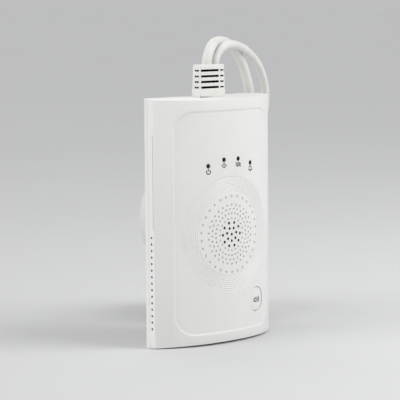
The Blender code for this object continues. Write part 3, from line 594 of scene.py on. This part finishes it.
def front_hole(x, z, radius, depth, sides):
    """A round bar along Y from before the bowed front to a depth behind its middle."""
    return rod(x, z, radius, FRONT_Y - PAST, FRONT_Y + depth, "Y", sides)


def box(x_low, x_high, y_low, y_high, z_low, z_high):
    """A plain block."""
    return prism([(x_low, y_low), (x_high, y_low), (x_high, y_high), (x_low, y_high)], z_low, z_high)


def merged(shapes):
    """Several shapes as one, to cut them all at once."""
    whole = bmesh.new()
    for shape in shapes:
        mesh = bpy.data.meshes.new("part_of_tool")
        shape.to_mesh(mesh)
        shape.free()
        whole.from_mesh(mesh)
        bpy.data.meshes.remove(mesh)
    return whole


def loft(levels):
    """A solid through closed outlines of the same number of (x, y, z) points."""
    shape = bmesh.new()
    rows = [[shape.verts.new(point) for point in level] for level in levels]
    shape.faces.new(rows[0])
    shape.faces.new(rows[-1])
    for low, high in zip(rows, rows[1:], strict=False):
        for k in range(len(low)):
            after = (k + 1) % len(low)
            shape.faces.new((low[k], low[after], high[after], high[k]))
    return shape


def face_slab(x_low, x_high, near, far, z_low, z_high, steps=96, back=None):
    """A slab that follows the bowed front, from near to far behind it, or to a flat back."""
    across = [x_low + (x_high - x_low) * k / steps for k in range(steps + 1)]
    outline = [(x, face_y(x, near)) for x in across]
    if back is None:
        outline += [(x, face_y(x, far)) for x in reversed(across)]
    else:
        outline += [(x_high, back), (x_low, back)]
    return prism(outline, z_low, z_high)


def settle(piece, body, slot, *nodes):
    """Lets a piece ride on its body and stand for its CAD nodes; its slot is not used."""
    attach(piece, body)
    if nodes:
        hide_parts(*nodes)
    return piece


# ---------------- leads
MAINS_ROUTE = [
    (-0.0008, -0.0032, 0.1362), (-0.0008, -0.0032, 0.1375), (0.0009, -0.0027, 0.1413),
    (0.0044, -0.0012, 0.1447), (0.0089, 0.0011, 0.1462), (0.0136, 0.0025, 0.1468),
    (0.0183, 0.0038, 0.1464), (0.0229, 0.0050, 0.1451), (0.0271, 0.0059, 0.1428),
    (0.0306, 0.0065, 0.1396), (0.0337, 0.0070, 0.1358), (0.0364, 0.0077, 0.1316),
    (0.0386, 0.0082, 0.1272), (0.0404, 0.0087, 0.1226), (0.0416, 0.0093, 0.1180),
    (0.0424, 0.0101, 0.1110), (0.0425, 0.0114, 0.1030), (0.0421, 0.0132, 0.0930),
    (0.0404, 0.0158, 0.0810), (0.0374, 0.0190, 0.0685), (0.0336, 0.0230, 0.0560),
    (0.0297, 0.0280, 0.0452), (0.0264, 0.0336, 0.0364), (0.0242, 0.0392, 0.0308),
    (0.0231, 0.0434, 0.0290), (0.0224, 0.0466, 0.0290),
]
SIGNAL_ROUTE = [
    (0.0049, -0.0033, 0.1362), (0.0049, -0.0033, 0.1375), (0.0073, -0.0028, 0.1412),
    (0.0109, -0.0027, 0.1439), (0.0154, -0.0018, 0.1452), (0.0202, -0.0006, 0.1452),
    (0.0249, 0.0006, 0.1444), (0.0296, 0.0019, 0.1431), (0.0339, 0.0035, 0.1416),
    (0.0382, 0.0050, 0.1396), (0.0424, 0.0062, 0.1371), (0.0461, 0.0072, 0.1340),
    (0.0492, 0.0080, 0.1302), (0.0514, 0.0085, 0.1260), (0.0528, 0.0089, 0.1213),
    (0.0534, 0.0093, 0.1164), (0.0533, 0.0102, 0.1090), (0.0530, 0.0118, 0.0990),
    (0.0532, 0.0144, 0.0870), (0.0544, 0.0180, 0.0740), (0.0566, 0.0224, 0.0620),
    (0.0596, 0.0272, 0.0524), (0.0628, 0.0314, 0.0456), (0.0660, 0.0348, 0.0422),
    (0.0684, 0.0376, 0.0418),
]
MAINS_TAIL = [
    (0.0596, 0.0200, 0.0038), (0.0574, 0.0196, 0.0039), (0.0540, 0.0192, 0.0043),
    (0.0500, 0.0188, 0.0051), (0.0468, 0.0187, 0.0057), (0.0446, 0.0187, 0.0060),
    (0.0433, 0.0187, 0.0060),
]


def smooth_line(points):
    """Points at an even spacing on a smooth curve through a route's points."""
    knots = [Vector(p) for p in points]
    padded = [2 * knots[0] - knots[1], *knots, 2 * knots[-1] - knots[-2]]
    fine = []
    steps = 24
    for a, b, c, d in zip(padded, padded[1:], padded[2:], padded[3:], strict=False):
        for step in range(steps):
            t = step / steps
            bend = 2 * a - 5 * b + 4 * c - d
            twist = 3 * b - a - 3 * c + d
            fine.append(0.5 * (2 * b + (c - a) * t + bend * t**2 + twist * t**3))
    fine.append(knots[-1])
    lengths = [0.0]
    for a, b in zip(fine, fine[1:], strict=False):
        lengths.append(lengths[-1] + (b - a).length)
    count = max(2, round(lengths[-1] / SPACING))
    even, k = [], 0
    for step in range(count + 1):
        target = lengths[-1] * step / count
        while k < len(lengths) - 2 and lengths[k + 1] < target:
            k += 1
        share = (target - lengths[k]) / max(lengths[k + 1] - lengths[k], 1e-9)
        even.append(fine[k].lerp(fine[k + 1], min(max(share, 0.0), 1.0)))
    return even


def eased(t):
    """A share from 0 to 1 that starts and ends gently."""
    t = min(max(t, 0.0), 1.0)
    return t * t * (3.0 - 2.0 * t)


def wound(slots, start, direction, travel, diameter, land_from):
    """A lead's turns: it holds one slot (radius, height) for almost a turn, then moves to the next. Before
    travel 0 it comes down from land_from, a (radius, height), over the landing angle."""
    points = []
    at = TURN_STEP - LANDING
    while at <= travel:
        radius, height = slots[0]
        if at < 0:
            down = eased(1.0 + at / LANDING)
            inward = eased((1.0 + at / LANDING - INWARD_FROM) / (1.0 - INWARD_FROM))
            radius = land_from[0] + (radius - land_from[0]) * inward
            height = land_from[1] + (height - land_from[1]) * down
        for index, (slot, after) in enumerate(zip(slots, slots[1:], strict=False)):
            share = eased((at - FIRST_MOVE - index * (360.0 - MOVE)) / MOVE)
            radius += (after[0] - slot[0]) * share
            height += (after[1] - slot[1]) * share
        turn = math.radians(start + direction * at)
        out = radius + WANDER * diameter * math.sin(math.radians(at * WANDER_RATE))
        across, along = out * math.cos(turn), out * math.sin(turn)
        points.append(Vector((COIL_CENTRE.x + across, COIL_CENTRE.y + along, height)))
        at += TURN_STEP
    return points


def tube(name, points, diameter, finish):
    """A round lead along its points."""
    line = bpy.data.curves.new(name, "CURVE")
    line.dimensions = "3D"
    line.bevel_depth = diameter / 2
    line.bevel_resolution = 6
    line.use_fill_caps = True
    line.twist_mode = "MINIMUM"
    run = line.splines.new("POLY")
    run.points.add(len(points) - 1)
    for point, place in zip(run.points, points, strict=True):
        point.co = (*place, 1.0)
    run.use_smooth = True
    line.materials.append(finish)
    piece = bpy.data.objects.new(name, line)
    bpy.context.scene.collection.objects.link(piece)
    return piece


def run_length(points):
    """The length of a line of points."""
    return sum((b - a).length for a, b in zip(points, points[1:], strict=False))


def polar(point):
    """(radius, angle in degrees) of a point about the coils' axis."""
    out = Vector(point[:2]) - COIL_CENTRE
    return out.length, math.degrees(math.atan2(out.y, out.x))


def rows_of(low, high, diameter):
    """Heights of a coil's rows, from the top down, and the radii of its outer and its inner column."""
    count = round((high.z - low.z) / diameter)
    heights = [high.z - diameter * (k + 0.5) for k in range(count)]
    edge = (high.x - low.x) / 2
    return heights, edge - diameter / 2, edge - 2 * diameter + diameter / 2


def boot_exit(route):
    """Where a lead leaves the strain relief's top face."""
    return (route[0][0], route[0][1], BOOT_TOP)


def mains_points():
    """Over from the strain relief, down to the coil, round it row by row, and out to the plug."""
    run = smooth_line([boot_exit(MAINS_ROUTE), *MAINS_ROUTE[1:]])
    heights, outer, inner = rows_of(mains_low, mains_high, MAINS_LEAD)
    slots = []
    for row, height in enumerate(heights):
        pair = [(outer, height), (inner, height)]
        slots += pair if row % 2 == 0 else pair[::-1]
    radius, angle = polar(MAINS_ROUTE[-1])
    start = angle - LANDING
    travel = (start - MAINS_LEAVES_AT) % 360.0 + 360.0 * MAINS_TURNS
    turns = wound(slots, start, -1, travel, MAINS_LEAD, (radius, MAINS_ROUTE[-1][2]))
    # The tail's curve also runs through three points of the last turn, so that it leaves it smoothly.
    tail = smooth_line([*turns[-14::6], *MAINS_TAIL])
    tail_steps = round(run_length([Vector(p) for p in MAINS_TAIL]) / SPACING)
    return [*run, *turns[:-2], *tail[-tail_steps:]]


def signal_points():
    """Over from the strain relief, down to its own coil, down its outer side, up its inner side, and across
    it to the connector."""
    run = smooth_line([boot_exit(SIGNAL_ROUTE), *SIGNAL_ROUTE[1:]])
    heights, outer, inner = rows_of(signal_low, signal_high, SIGNAL_LEAD)
    slots = [(outer, h) for h in heights] + [(inner, h) for h in reversed(heights)]
    radius, angle = polar(SIGNAL_ROUTE[-1])
    start = angle + LANDING
    travel = (TAIL_START - start) % 360.0 + 360.0 * SIGNAL_TURNS
    turns = wound(slots, start, 1, travel, SIGNAL_LEAD, (radius, SIGNAL_ROUTE[-1][2]))
    top = signal_high.z + SIGNAL_LEAD / 2 + GAP
    for k, point in enumerate(reversed(turns)):
        share = 1.0 - TURN_STEP * k / SIGNAL_RISE
        if share <= 0.0:
            break
        point.z += (top - heights[0]) * eased(share)
    return [*run, *turns, *signal_tail(inner, top)]


def signal_tail(inner, top):
    """The last stretch turns inwards over the coil to the connector, as in the CAD."""
    first = math.radians(TAIL_START)
    centre = COIL_CENTRE + Vector((math.cos(first), math.sin(first))) * (inner - TAIL_BEND)
    connector_z = signal_high.z + SIGNAL_LEAD + GAP
    points = []
    for step in range(1, round(180.0 / TURN_STEP) + 1):
        turn = math.radians(TAIL_START + TURN_STEP * step)
        rise = min(1.0, TURN_STEP * step / TAIL_RISE) ** 2
        place = centre + Vector((math.cos(turn), math.sin(turn))) * TAIL_BEND
        points.append(Vector((place.x, place.y, top + (connector_z - top) * rise)))
    heading = math.radians(TAIL_START + 270.0)
    points.append(points[-1] + Vector((math.cos(heading), math.sin(heading), 0.0)) * TAIL_STRAIGHT)
    return points


mains_cord = tube("mains_cord", mains_points(), MAINS_LEAD, CORD_PVC)
signal_cord = tube("signal_cord", signal_points(), SIGNAL_LEAD, CORD_PVC)
settle(mains_cord, "casing", "white_pvc", "mains_lead", "mains_coil", "mains_tail")
settle(signal_cord, "casing", "white_pvc", "signal_lead", "signal_coil", "signal_tail")


def coil_tie(name, node, inner_radius, outer_radius, low, high, angle):
    """A cable tie round a coil's section: a thin strap with round corners, its lock and a cut end."""
    clear, thick, width = 0.0004, 0.0007, 0.0034
    outlines = []
    for grow, corner in ((clear + thick, 0.0021), (clear, 0.0014)):
        outlines.append(rounded(inner_radius - grow, outer_radius + grow, low - grow, high + grow, corner, 5))
    shape = bmesh.new()
    rows = []
    for outline in outlines:
        for y in (-width / 2, width / 2):
            rows.append([shape.verts.new((x, y, z)) for x, z in outline])
    count = len(rows[0])
    for k in range(count):
        after = (k + 1) % count
        for a, b in ((0, 1), (1, 3), (3, 2), (2, 0)):
            shape.faces.new((rows[a][k], rows[a][after], rows[b][after], rows[b][k]))
    piece = soften(new_object(name, shape, BLACK), 0.00015, 2)
    middle_radius = (inner_radius + outer_radius) / 2
    top = high + clear
    lock_across = (outer_radius - 0.001, outer_radius + clear + 0.0016)
    lock = box(*lock_across, -0.0026, 0.0026, high - 0.0072, high - 0.0024)
    lock = soften(new_object("lock", lock, BLACK), 0.0004, 2)
    end_across = (middle_radius + 0.0005, outer_radius + 0.0006)
    end = box(*end_across, -0.0012, 0.0012, top + thick * 0.6, top + thick * 1.5)
    end = soften(new_object("end", end, BLACK), 0.0002, 2)
    for extra in (lock, end):
        combine(piece, extra, "UNION")
    sharpen(piece)
    piece.data.transform(Matrix.Rotation(math.radians(angle), 4, "Z"))
    piece.data.transform(Matrix.Translation((*COIL_CENTRE, 0.0)))
    return settle(piece, "casing", "black_plastic", node)


mains_tie = coil_tie("mains_tie_strap", "mains_coil_tie", 0.020, 0.030, mains_low.z, mains_high.z, 60.0)
signal_tie = coil_tie(
    "signal_tie_strap", "signal_coil_tie", 0.0175, 0.0255, signal_low.z, signal_high.z, 80.0
)


# ---------------- front cover
def grille_places(rings):
    """Where the holes of some rings are, as (x, z)."""
    for count, radius, first in rings:
        for k in range(count):
            turn = math.radians(first + 360.0 * k / count)
            yield radius * math.cos(turn), SIREN_Z + radius * math.sin(turn)


def slope(front_z, seam_z, far_z):
    """What lies past a slope that runs from the middle of the front to the seam."""
    reach = 2 * PAST
    rise = (seam_z - front_z) / (SEAM_Y - FRONT_Y) * reach
    profile = [
        (FRONT_Y - reach, front_z - rise), (SEAM_Y + reach, seam_z + rise),
        (SEAM_Y + reach, far_z), (FRONT_Y - reach, far_z),
    ]
    return prism(profile, -HALF - reach, HALF + reach, "X")


def panel_outline(grow):
    """The panel's rounded outline, grown by so much, with points along its level runs to follow the bow."""
    half, radius = PANEL_HALF_WIDTH + grow, PANEL_CORNER + grow
    low, high = PANEL_BOTTOM - grow, PANEL_TOP + grow
    points = rounded(-half, half, low, high, radius, PANEL_CORNER_STEPS)
    right = 2 * (PANEL_CORNER_STEPS + 1)
    run = 2 * (half - radius)
    level = [half - radius - run * k / PANEL_LEVEL_STEPS for k in range(1, PANEL_LEVEL_STEPS)]
    return points[:right] + [(x, high) for x in level] + points[right:] + [(-x, low) for x in level]


def panel_recess():
    """What is cut away for the panel: its floor follows the bow and its wall is a slope."""
    levels = []
    for grow, inset, flat in (
        (PANEL_SLOPE, None, FRONT_Y - 0.003), (PANEL_SLOPE, -PANEL_RECESS * 0.5, None),
        (-PANEL_SLOPE, PANEL_RECESS * 1.5, None), (-PANEL_SLOPE, None, SEAM_Y),
    ):
        outline = panel_outline(grow)
        levels.append([(x, flat if inset is None else face_y(x, inset), z) for x, z in outline])
    recess = new_object("panel", loft(levels), None, 0)
    floor = face_slab(-HALF, HALF, -0.004, PANEL_RECESS, -PAST, HEIGHT + PAST)
    return combine(recess, floor, "INTERSECT")


def crease_panel(piece):
    """Keeps the edges of the panel's slope crisp, though they turn by less than the sharp edges do."""
    mesh = piece.data
    shape = bmesh.new()
    shape.from_mesh(mesh)
    for edge in shape.edges:
        place = (edge.verts[0].co + edge.verts[1].co) / 2
        inside = abs(place.x) < HALF - WALL and CREASE_MARGIN < place.z < HEIGHT - CREASE_MARGIN
        if inside and edge.is_manifold and edge.calc_face_angle() > math.radians(CREASE_ANGLE):
            edge.smooth = False
    shape.to_mesh(mesh)
    shape.free()


def side_cuts():
    """Both side walls' grooves and vent pockets, and the vents that are drilled into the pockets."""
    corner = face_y(HALF)
    skin = HALF - VENT_SKIN
    cuts, vents = [], []
    for side in (-1, 1):
        out = side * (HALF + PAST)
        groove = [corner + along for along in SIDE_GROOVE_ACROSS]
        cuts.append(box(*sorted((side * (HALF - SIDE_GROOVE_DEPTH), out)), *groove, *SIDE_GROOVE))
        pocket = sorted((side * (HALF - WALL - PAST), side * skin))
        cuts.append(box(*pocket, VENT_Y - VENT_POCKET_HALF, VENT_Y + VENT_POCKET_HALF, *VENT_POCKET))
        drilled = sorted((side * (skin - 0.0001), out))
        for k in range(VENT_COUNT):
            vents.append(rod(VENT_Y, VENT_FIRST + VENT_PITCH * k, VENT_RADIUS, *drilled, "X", 12))
    return merged(cuts), merged(vents)


def front_shell():
    """The cover as one moulding: bowed front with a fine groove behind its side edges, recessed panel with a
    sloping wall, hollow inside, side vents, and a top and underside that slope to the front."""
    solid = face_slab(-HALF, HALF, 0.0, 0.0, 0.0, HEIGHT, back=SEAM_Y + 2 * PAST)
    hollow = face_slab(WALL - HALF, HALF - WALL, WALL, 0.0, WALL, HEIGHT - WALL, back=SEAM_Y + 4 * PAST)
    piece = new_object("casing_front", solid, WHITE)
    combine(piece, slope(HEIGHT - TOP_DROP, HEIGHT - SEAM_LIP, HEIGHT + 0.003))
    combine(piece, slope(FOOT_RISE, SEAM_LIP, -0.003))
    combine(piece, hollow)
    soften(piece, EDGE_ROUNDING, 3, 40.0)
    combine(piece, box(-0.1, 0.1, SEAM_Y + LAP, SEAM_Y + 0.01, -0.01, HEIGHT + 0.01))
    combine(piece, panel_recess())
    holes = [front_hole(0.0, SIREN_Z, GRILLE_EDGE, SEAM_Y - WALL - FRONT_Y, GRILLE_SIDES)]
    for x, _, z in INDICATORS:
        holes.append(front_hole(x, z, INDICATOR_HOLE, 0.006, 24))
    holes.append(front_hole(BUTTON_X, BUTTON_Z, BUTTON_RADIUS + GAP, 0.009, 64))
    combine(piece, merged(holes))
    for cuts in side_cuts():
        combine(piece, cuts)
    gate = (-GATE_HALF_X, GATE_HALF_X, BOOT_Y - GATE_HALF_Y, BOOT_Y + GATE_HALF_Y)
    combine(piece, box(*gate, HEIGHT - 2 * WALL, HEIGHT + PAST))
    sharpen(piece, 30.0)
    crease_panel(piece)
    return piece


def groove_depth(radius):
    """How deep the fine concentric grooves are at a radius."""
    across = (radius - GROOVE_FIRST + GROOVE_PITCH / 2) / GROOVE_PITCH
    if across < 0.0 or across > GROOVE_COUNT:
        return 0.0
    dip = 0.5 - 0.5 * math.cos(2 * math.pi * across)
    return GROOVE_DEPTH * dip**1.5


def grille_disc():
    """The round siren grille in the middle of the panel: fine grooves round a field of drilled holes and
    blind dimples, following the bow of the front."""
    radii = [RING_PITCH * k for k in range(7)] + [WEB_EDGE, WEB_EDGE + WEB_STEP]
    radii += [RING_PITCH * k for k in range(8, 20)]
    radius = GROOVED_FROM
    while radius < GRILLE_EDGE - 0.00005:
        radii.append(radius)
        radius += GROOVE_PITCH / 8
    radii.append(GRILLE_EDGE)
    shape = bmesh.new()
    fronts, backs = [], []
    for radius in radii:
        front_y = PANEL_RECESS + groove_depth(radius)
        back_y = PANEL_RECESS + (WEB_THICKNESS if radius <= WEB_EDGE else GRILLE_THICKNESS)
        ring_front, ring_back = [], []
        for k in range(GRILLE_SIDES if radius else 1):
            turn = 2 * math.pi * (k + 0.5) / GRILLE_SIDES
            x, z = radius * math.cos(turn), SIREN_Z + radius * math.sin(turn)
            ring_front.append(shape.verts.new((x, face_y(x, front_y), z)))
            ring_back.append(shape.verts.new((x, face_y(x, back_y), z)))
        fronts.append(ring_front)
        backs.append(ring_back)
    for rows, flip in ((fronts, False), (backs, True)):
        for low, high in zip(rows, rows[1:], strict=False):
            for k in range(GRILLE_SIDES):
                after = (k + 1) % GRILLE_SIDES
                corners = (low[0], high[k], high[after])
                if len(low) > 1:
                    corners = (low[k], high[k], high[after], low[after])
                shape.faces.new(corners[::-1] if flip else corners)
    for k in range(GRILLE_SIDES):
        after = (k + 1) % GRILLE_SIDES
        shape.faces.new((fronts[-1][k], backs[-1][k], backs[-1][after], fronts[-1][after]))
    piece = new_object("siren_grille", shape, WHITE, 0)
    drilled = [front_hole(x, z, DRILLED_RADIUS, 0.004, 20) for x, z in grille_places(DRILLED)]
    combine(piece, merged(drilled))
    blind = []
    for rings, radius, deep in (
        (DIMPLED, DIMPLED_RADIUS, DIMPLED_DEPTH), (OUTER_DIMPLED, OUTER_DIMPLED_RADIUS, OUTER_DIMPLED_DEPTH),
    ):
        for x, z in grille_places(rings):
            blind.append(rod(x, z, radius, face_y(x) - PAST, face_y(x, PANEL_RECESS + deep), "Y", 14))
    combine(piece, merged(blind))
    return sharpen(piece, 50.0)


settle(front_shell(), "casing", "white_plastic", "front_cover")
settle(grille_disc(), "casing", "white_plastic")


# ---------------- test button
def button_disc(name, radius, near, far, sides):
    """A round disc about the button's axis that follows the bow, from near to far behind the surface."""
    reach = 0.009
    piece = new_object(name, front_hole(BUTTON_X, BUTTON_Z, radius, 0.012, sides), WHITE)
    around_x = (BUTTON_X - reach, BUTTON_X + reach)
    around_z = (BUTTON_Z - reach, BUTTON_Z + reach)
    return combine(piece, face_slab(*around_x, near, far, *around_z, 24), "INTERSECT")


def button_cap():
    """The cap follows the bow of the front, with a soft edge, over its collar and stem."""
    piece = button_disc("button_cap", BUTTON_RADIUS, CAP_INSET, CAP_BACK, 64)
    soften(piece, CAP_ROUNDING, 3, 60.0)
    combine(piece, button_disc("collar", COLLAR_RADIUS, WALL + GAP, COLLAR_BACK, 48), "UNION")
    combine(piece, rod(BUTTON_X, BUTTON_Z, STEM_RADIUS, STEM_FROM_Y, BUTTON_END_Y, "Y", 24), "UNION")
    return sharpen(piece)


settle(button_cap(), "button", "white_plastic", "test_button")


# ---------------- printed signs
def line_mark(shape, place, path, width, inset, closed=True):
    """A thin printed line along a path of (across, up) points about a place, lying on the bowed surface."""
    count = len(path)
    rows = []
    for k, point in enumerate(path):
        before = path[k - 1] if closed or k else path[k]
        after = path[(k + 1) % count] if closed or k < count - 1 else path[k]
        along = Vector((after[0] - before[0], after[1] - before[1])).normalized()
        side = Vector((-along.y, along.x)) * width / 2
        row = []
        for sign, deep in ((1, -INK_ABOVE), (-1, -INK_ABOVE), (-1, INK_BELOW), (1, INK_BELOW)):
            x, z = place[0] + point[0] + sign * side.x, place[1] + point[1] + sign * side.y
            row.append(shape.verts.new((x, face_y(x, inset + deep), z)))
        rows.append(row)
    for k in range(count if closed else count - 1):
        for a in range(4):
            b = (a + 1) % 4
            shape.faces.new((rows[k][a], rows[k][b], rows[(k + 1) % count][b], rows[(k + 1) % count][a]))
    if not closed:
        shape.faces.new(rows[0])
        shape.faces.new(rows[-1][::-1])


def arc(radius, start, end, steps=24):
    """Points along an arc about a sign's place, between two angles in degrees."""
    turns = [math.radians(start + (end - start) * k / steps) for k in range(steps + 1)]
    return [(radius * math.cos(t), radius * math.sin(t)) for t in turns]


def casing_signs():
    """A plain sign under each indicator: a ring with a bar, a diamond, a wave and a bell."""
    shape = bmesh.new()
    power, fault, life, alarm = [(x, z - SIGN_DROP) for x, _, z in INDICATORS]
    wave = [(-0.0018 + 0.0036 * k / 24, 0.0004 * math.sin(math.pi * k / 6)) for k in range(25)]
    dome = [(x, 0.0001 + 1.1 * y) for x, y in arc(0.0010, 0.0, 180.0, 10)]
    for place, path, closed in (
        (power, arc(0.0011, 130.0, 410.0), False),
        (power, [(0.0, 0.0014), (0.0, 0.0003)], False),
        (fault, [(0.0016, 0.0), (0.0, 0.0011), (-0.0016, 0.0), (0.0, -0.0011)], True),
        (fault, [(0.0, 0.0004), (0.0, -0.0004)], False),
        (life, [(x, 0.00055 + y) for x, y in wave], False),
        (life, [(x, -0.00055 + y) for x, y in wave], False),
        (alarm, [(0.0016, -0.0007), *dome, (-0.0016, -0.0007)], True),
        (alarm, [(0.0004, -0.0013), (-0.0004, -0.0013)], False),
    ):
        line_mark(shape, place, path, SIGN_LINE, PANEL_RECESS, closed)
    return new_object("casing_signs", shape, INK, 0)


def button_sign():
    """A small loudspeaker, printed on the cap."""
    shape = bmesh.new()
    place = (BUTTON_X + 0.0003, BUTTON_Z - 0.0004)
    horn = [(-0.0024, 0.0006), (-0.0013, 0.0006), (-0.0002, 0.0014)]
    horn += [(x, -y) for x, y in reversed(horn)]
    line_mark(shape, place, horn, BUTTON_SIGN_LINE, CAP_INSET)
    for radius in (0.0012, 0.0024):
        line_mark(shape, place, arc(radius, -40.0, 40.0, 10), BUTTON_SIGN_LINE, CAP_INSET, False)
    return new_object("button_sign", shape, INK, 0)


settle(casing_signs(), "casing", "black_plastic")
settle(button_sign(), "button", "black_plastic")


# ---------------- strain relief
def boot_slots(axis):
    """The four rows of slots in both broad faces of the strain relief, or those in both its ends."""
    slots = []
    face_depths = (BOOT_HALF_Y + PAST, BOOT_HALF_Y - BOOT_SLOT_DEEP)
    end_depths = (BOOT_HALF_X + PAST, BOOT_HALF_X - BOOT_END_SLOT_DEEP)
    for z in BOOT_SLOT_Z:
        low, high = z - BOOT_SLOT_HALF, z + BOOT_SLOT_HALF
        for side in (-1, 1):
            if axis == "faces":
                depths = sorted(BOOT_Y + side * depth for depth in face_depths)
                for start, end, less in ((0.0079, -0.0041, 0.0), (-0.0049, -0.0074, 0.00018)):
                    slots.append(box(*sorted((side * start, side * end)), *depths, low + less, high - less))
            else:
                depths = sorted(side * depth for depth in end_depths)
                across = sorted((BOOT_Y + side * 0.0020, BOOT_Y - side * 0.0008))
                slots.append(box(*depths, *across, low + 0.00012, high - 0.00012))
    return merged(slots)


def boot_notch():
    """The wedge-shaped gap under the front face's left part."""
    face, low = BOOT_Y - BOOT_HALF_Y, HEIGHT - BOOT_NOTCH_SINK
    left, right = BOOT_NOTCH
    outline = [(left, low - PAST), (right, low - PAST), (right, low), (left, low + BOOT_NOTCH_OPEN)]
    return prism(outline, face - PAST, face + BOOT_NOTCH_DEEP, "Y")


def boot_block(half_x, half_y, low, high):
    """A plain block about the strain relief's axis."""
    return box(-half_x, half_x, BOOT_Y - half_y, BOOT_Y + half_y, low, high)


def paint_shade_into_slots(piece):
    """Paints shade into the slots: the faces deep in them get the near-black painted-shade finish."""
    piece.data.materials.append(SLOT_PAINTED_SHADE)
    inner_x, inner_y = BOOT_HALF_X - 0.0012, BOOT_HALF_Y - 0.0009
    for face in piece.data.polygons:
        inside = abs(face.center.x) < inner_x and abs(face.center.y - BOOT_Y) < inner_y
        if inside and BOOT_SLOT_Z[0] - PAST < face.center.z < BOOT_SLOT_Z[-1] + PAST:
            face.material_index = 1


def strain_relief():
    """The ribbed block both leads leave through: plain base, four rows of slots, a neck in the casing's gate
    and a flange inside."""
    levels = []
    for half_x, half_y, z in (
        (BOOT_HALF_X, BOOT_HALF_Y, HEIGHT - PAST),
        (BOOT_HALF_X, BOOT_HALF_Y, HEIGHT + BOOT_BASE),
        (BOOT_HALF_X - 0.0002, BOOT_HALF_Y - 0.0001, HEIGHT + BOOT_STEP_TOP),
        (BOOT_TOP_HALF_X, BOOT_TOP_HALF_Y, BOOT_TOP),
    ):
        outline = rounded(-half_x, half_x, BOOT_Y - half_y, BOOT_Y + half_y, BOOT_SHOULDER, 6)
        levels.append([(x, y, z) for x, y in outline])
    piece = new_object("ribbed_boot", loft(levels), BOOT_PVC)
    soften(piece, BOOT_ROUNDING, 3, 60.0)
    combine(piece, slope(HEIGHT - TOP_DROP + BOOT_LIFT, HEIGHT - SEAM_LIP + BOOT_LIFT, HEIGHT - 2 * WALL))
    combine(piece, boot_notch())
    for axis in ("faces", "ends"):
        combine(piece, boot_slots(axis))
    under = HEIGHT - WALL
    neck = boot_block(GATE_HALF_X - GAP, GATE_HALF_Y - GAP, under - NECK_DOWN, HEIGHT + PAST)
    combine(piece, neck, "UNION")
    flange = boot_block(GATE_HALF_X + 0.0011, GATE_HALF_Y + 0.0009, under - FLANGE_DOWN, under - GAP)
    combine(piece, flange, "UNION")
    # paints shade into the depths of the slots
    paint_shade_into_slots(piece)
    return sharpen(piece)


settle(strain_relief(), "casing", "white_pvc", "cable_boot")


# ---------------- floor and light
def stage_floor():
    """A plain pale floor, as light as the backdrop."""
    shape = bmesh.new()
    far = 40.0
    corners = ((-far, -far), (far, -far), (far, far), (-far, far))
    shape.faces.new([shape.verts.new((x, y, 0.0)) for x, y in corners])
    made = Finish("studio_floor", (0.635, 0.637, 0.639), 0.9)
    made.vary_colour(made.noise(0.3, 2.0), 0.01)
    made.set("Specular IOR Level", 0.0)
    new_object("studio_floor", shape, made.material, 0)


def add_lamp(name, kind, strength, away):
    """A lamp that shines against the direction away."""
    light = bpy.data.lights.new(name, kind)
    light.energy = strength
    lamp = bpy.data.objects.new(name, light)
    bpy.context.scene.collection.objects.link(lamp)
    lamp.rotation_euler = away.to_track_quat("Z", "Y").to_euler()
    return lamp


def soft_sun(name, azimuth, height, strength, spread):
    """A wide, even light from an azimuth (0 from the front, 90 from the +X side) and a height, in degrees."""
    around, up = math.radians(azimuth), math.radians(height)
    away = Vector((math.sin(around) * math.cos(up), -math.cos(around) * math.cos(up), math.sin(up)))
    add_lamp(name, "SUN", strength, away).data.angle = math.radians(spread)


def light_stage():
    """Even studio light: a pale world, one large soft lamp at the front right and two wide, even ones."""
    bpy.context.scene.view_settings.view_transform = "Standard"
    world = bpy.data.worlds.new("studio")
    bpy.context.scene.world = world
    world.use_nodes = True
    sky = world.node_tree.nodes["Background"]
    sky.inputs["Color"].default_value = (0.985, 0.99, 1.0, 1.0)
    sky.inputs["Strength"].default_value = 0.52
    place, target = Vector((0.34, -0.575, 0.662)), Vector((0.0, 0.0, 0.06))
    key = add_lamp("key_light", "AREA", 4.8, place - target)
    key.location = place
    key.data.size = 0.6
    soft_sun("side_light", -108.0, 25.0, 1.35, 50.0)
    soft_sun("back_light", 160.0, 45.0, 0.5, 60.0)


stage_floor()
light_stage()
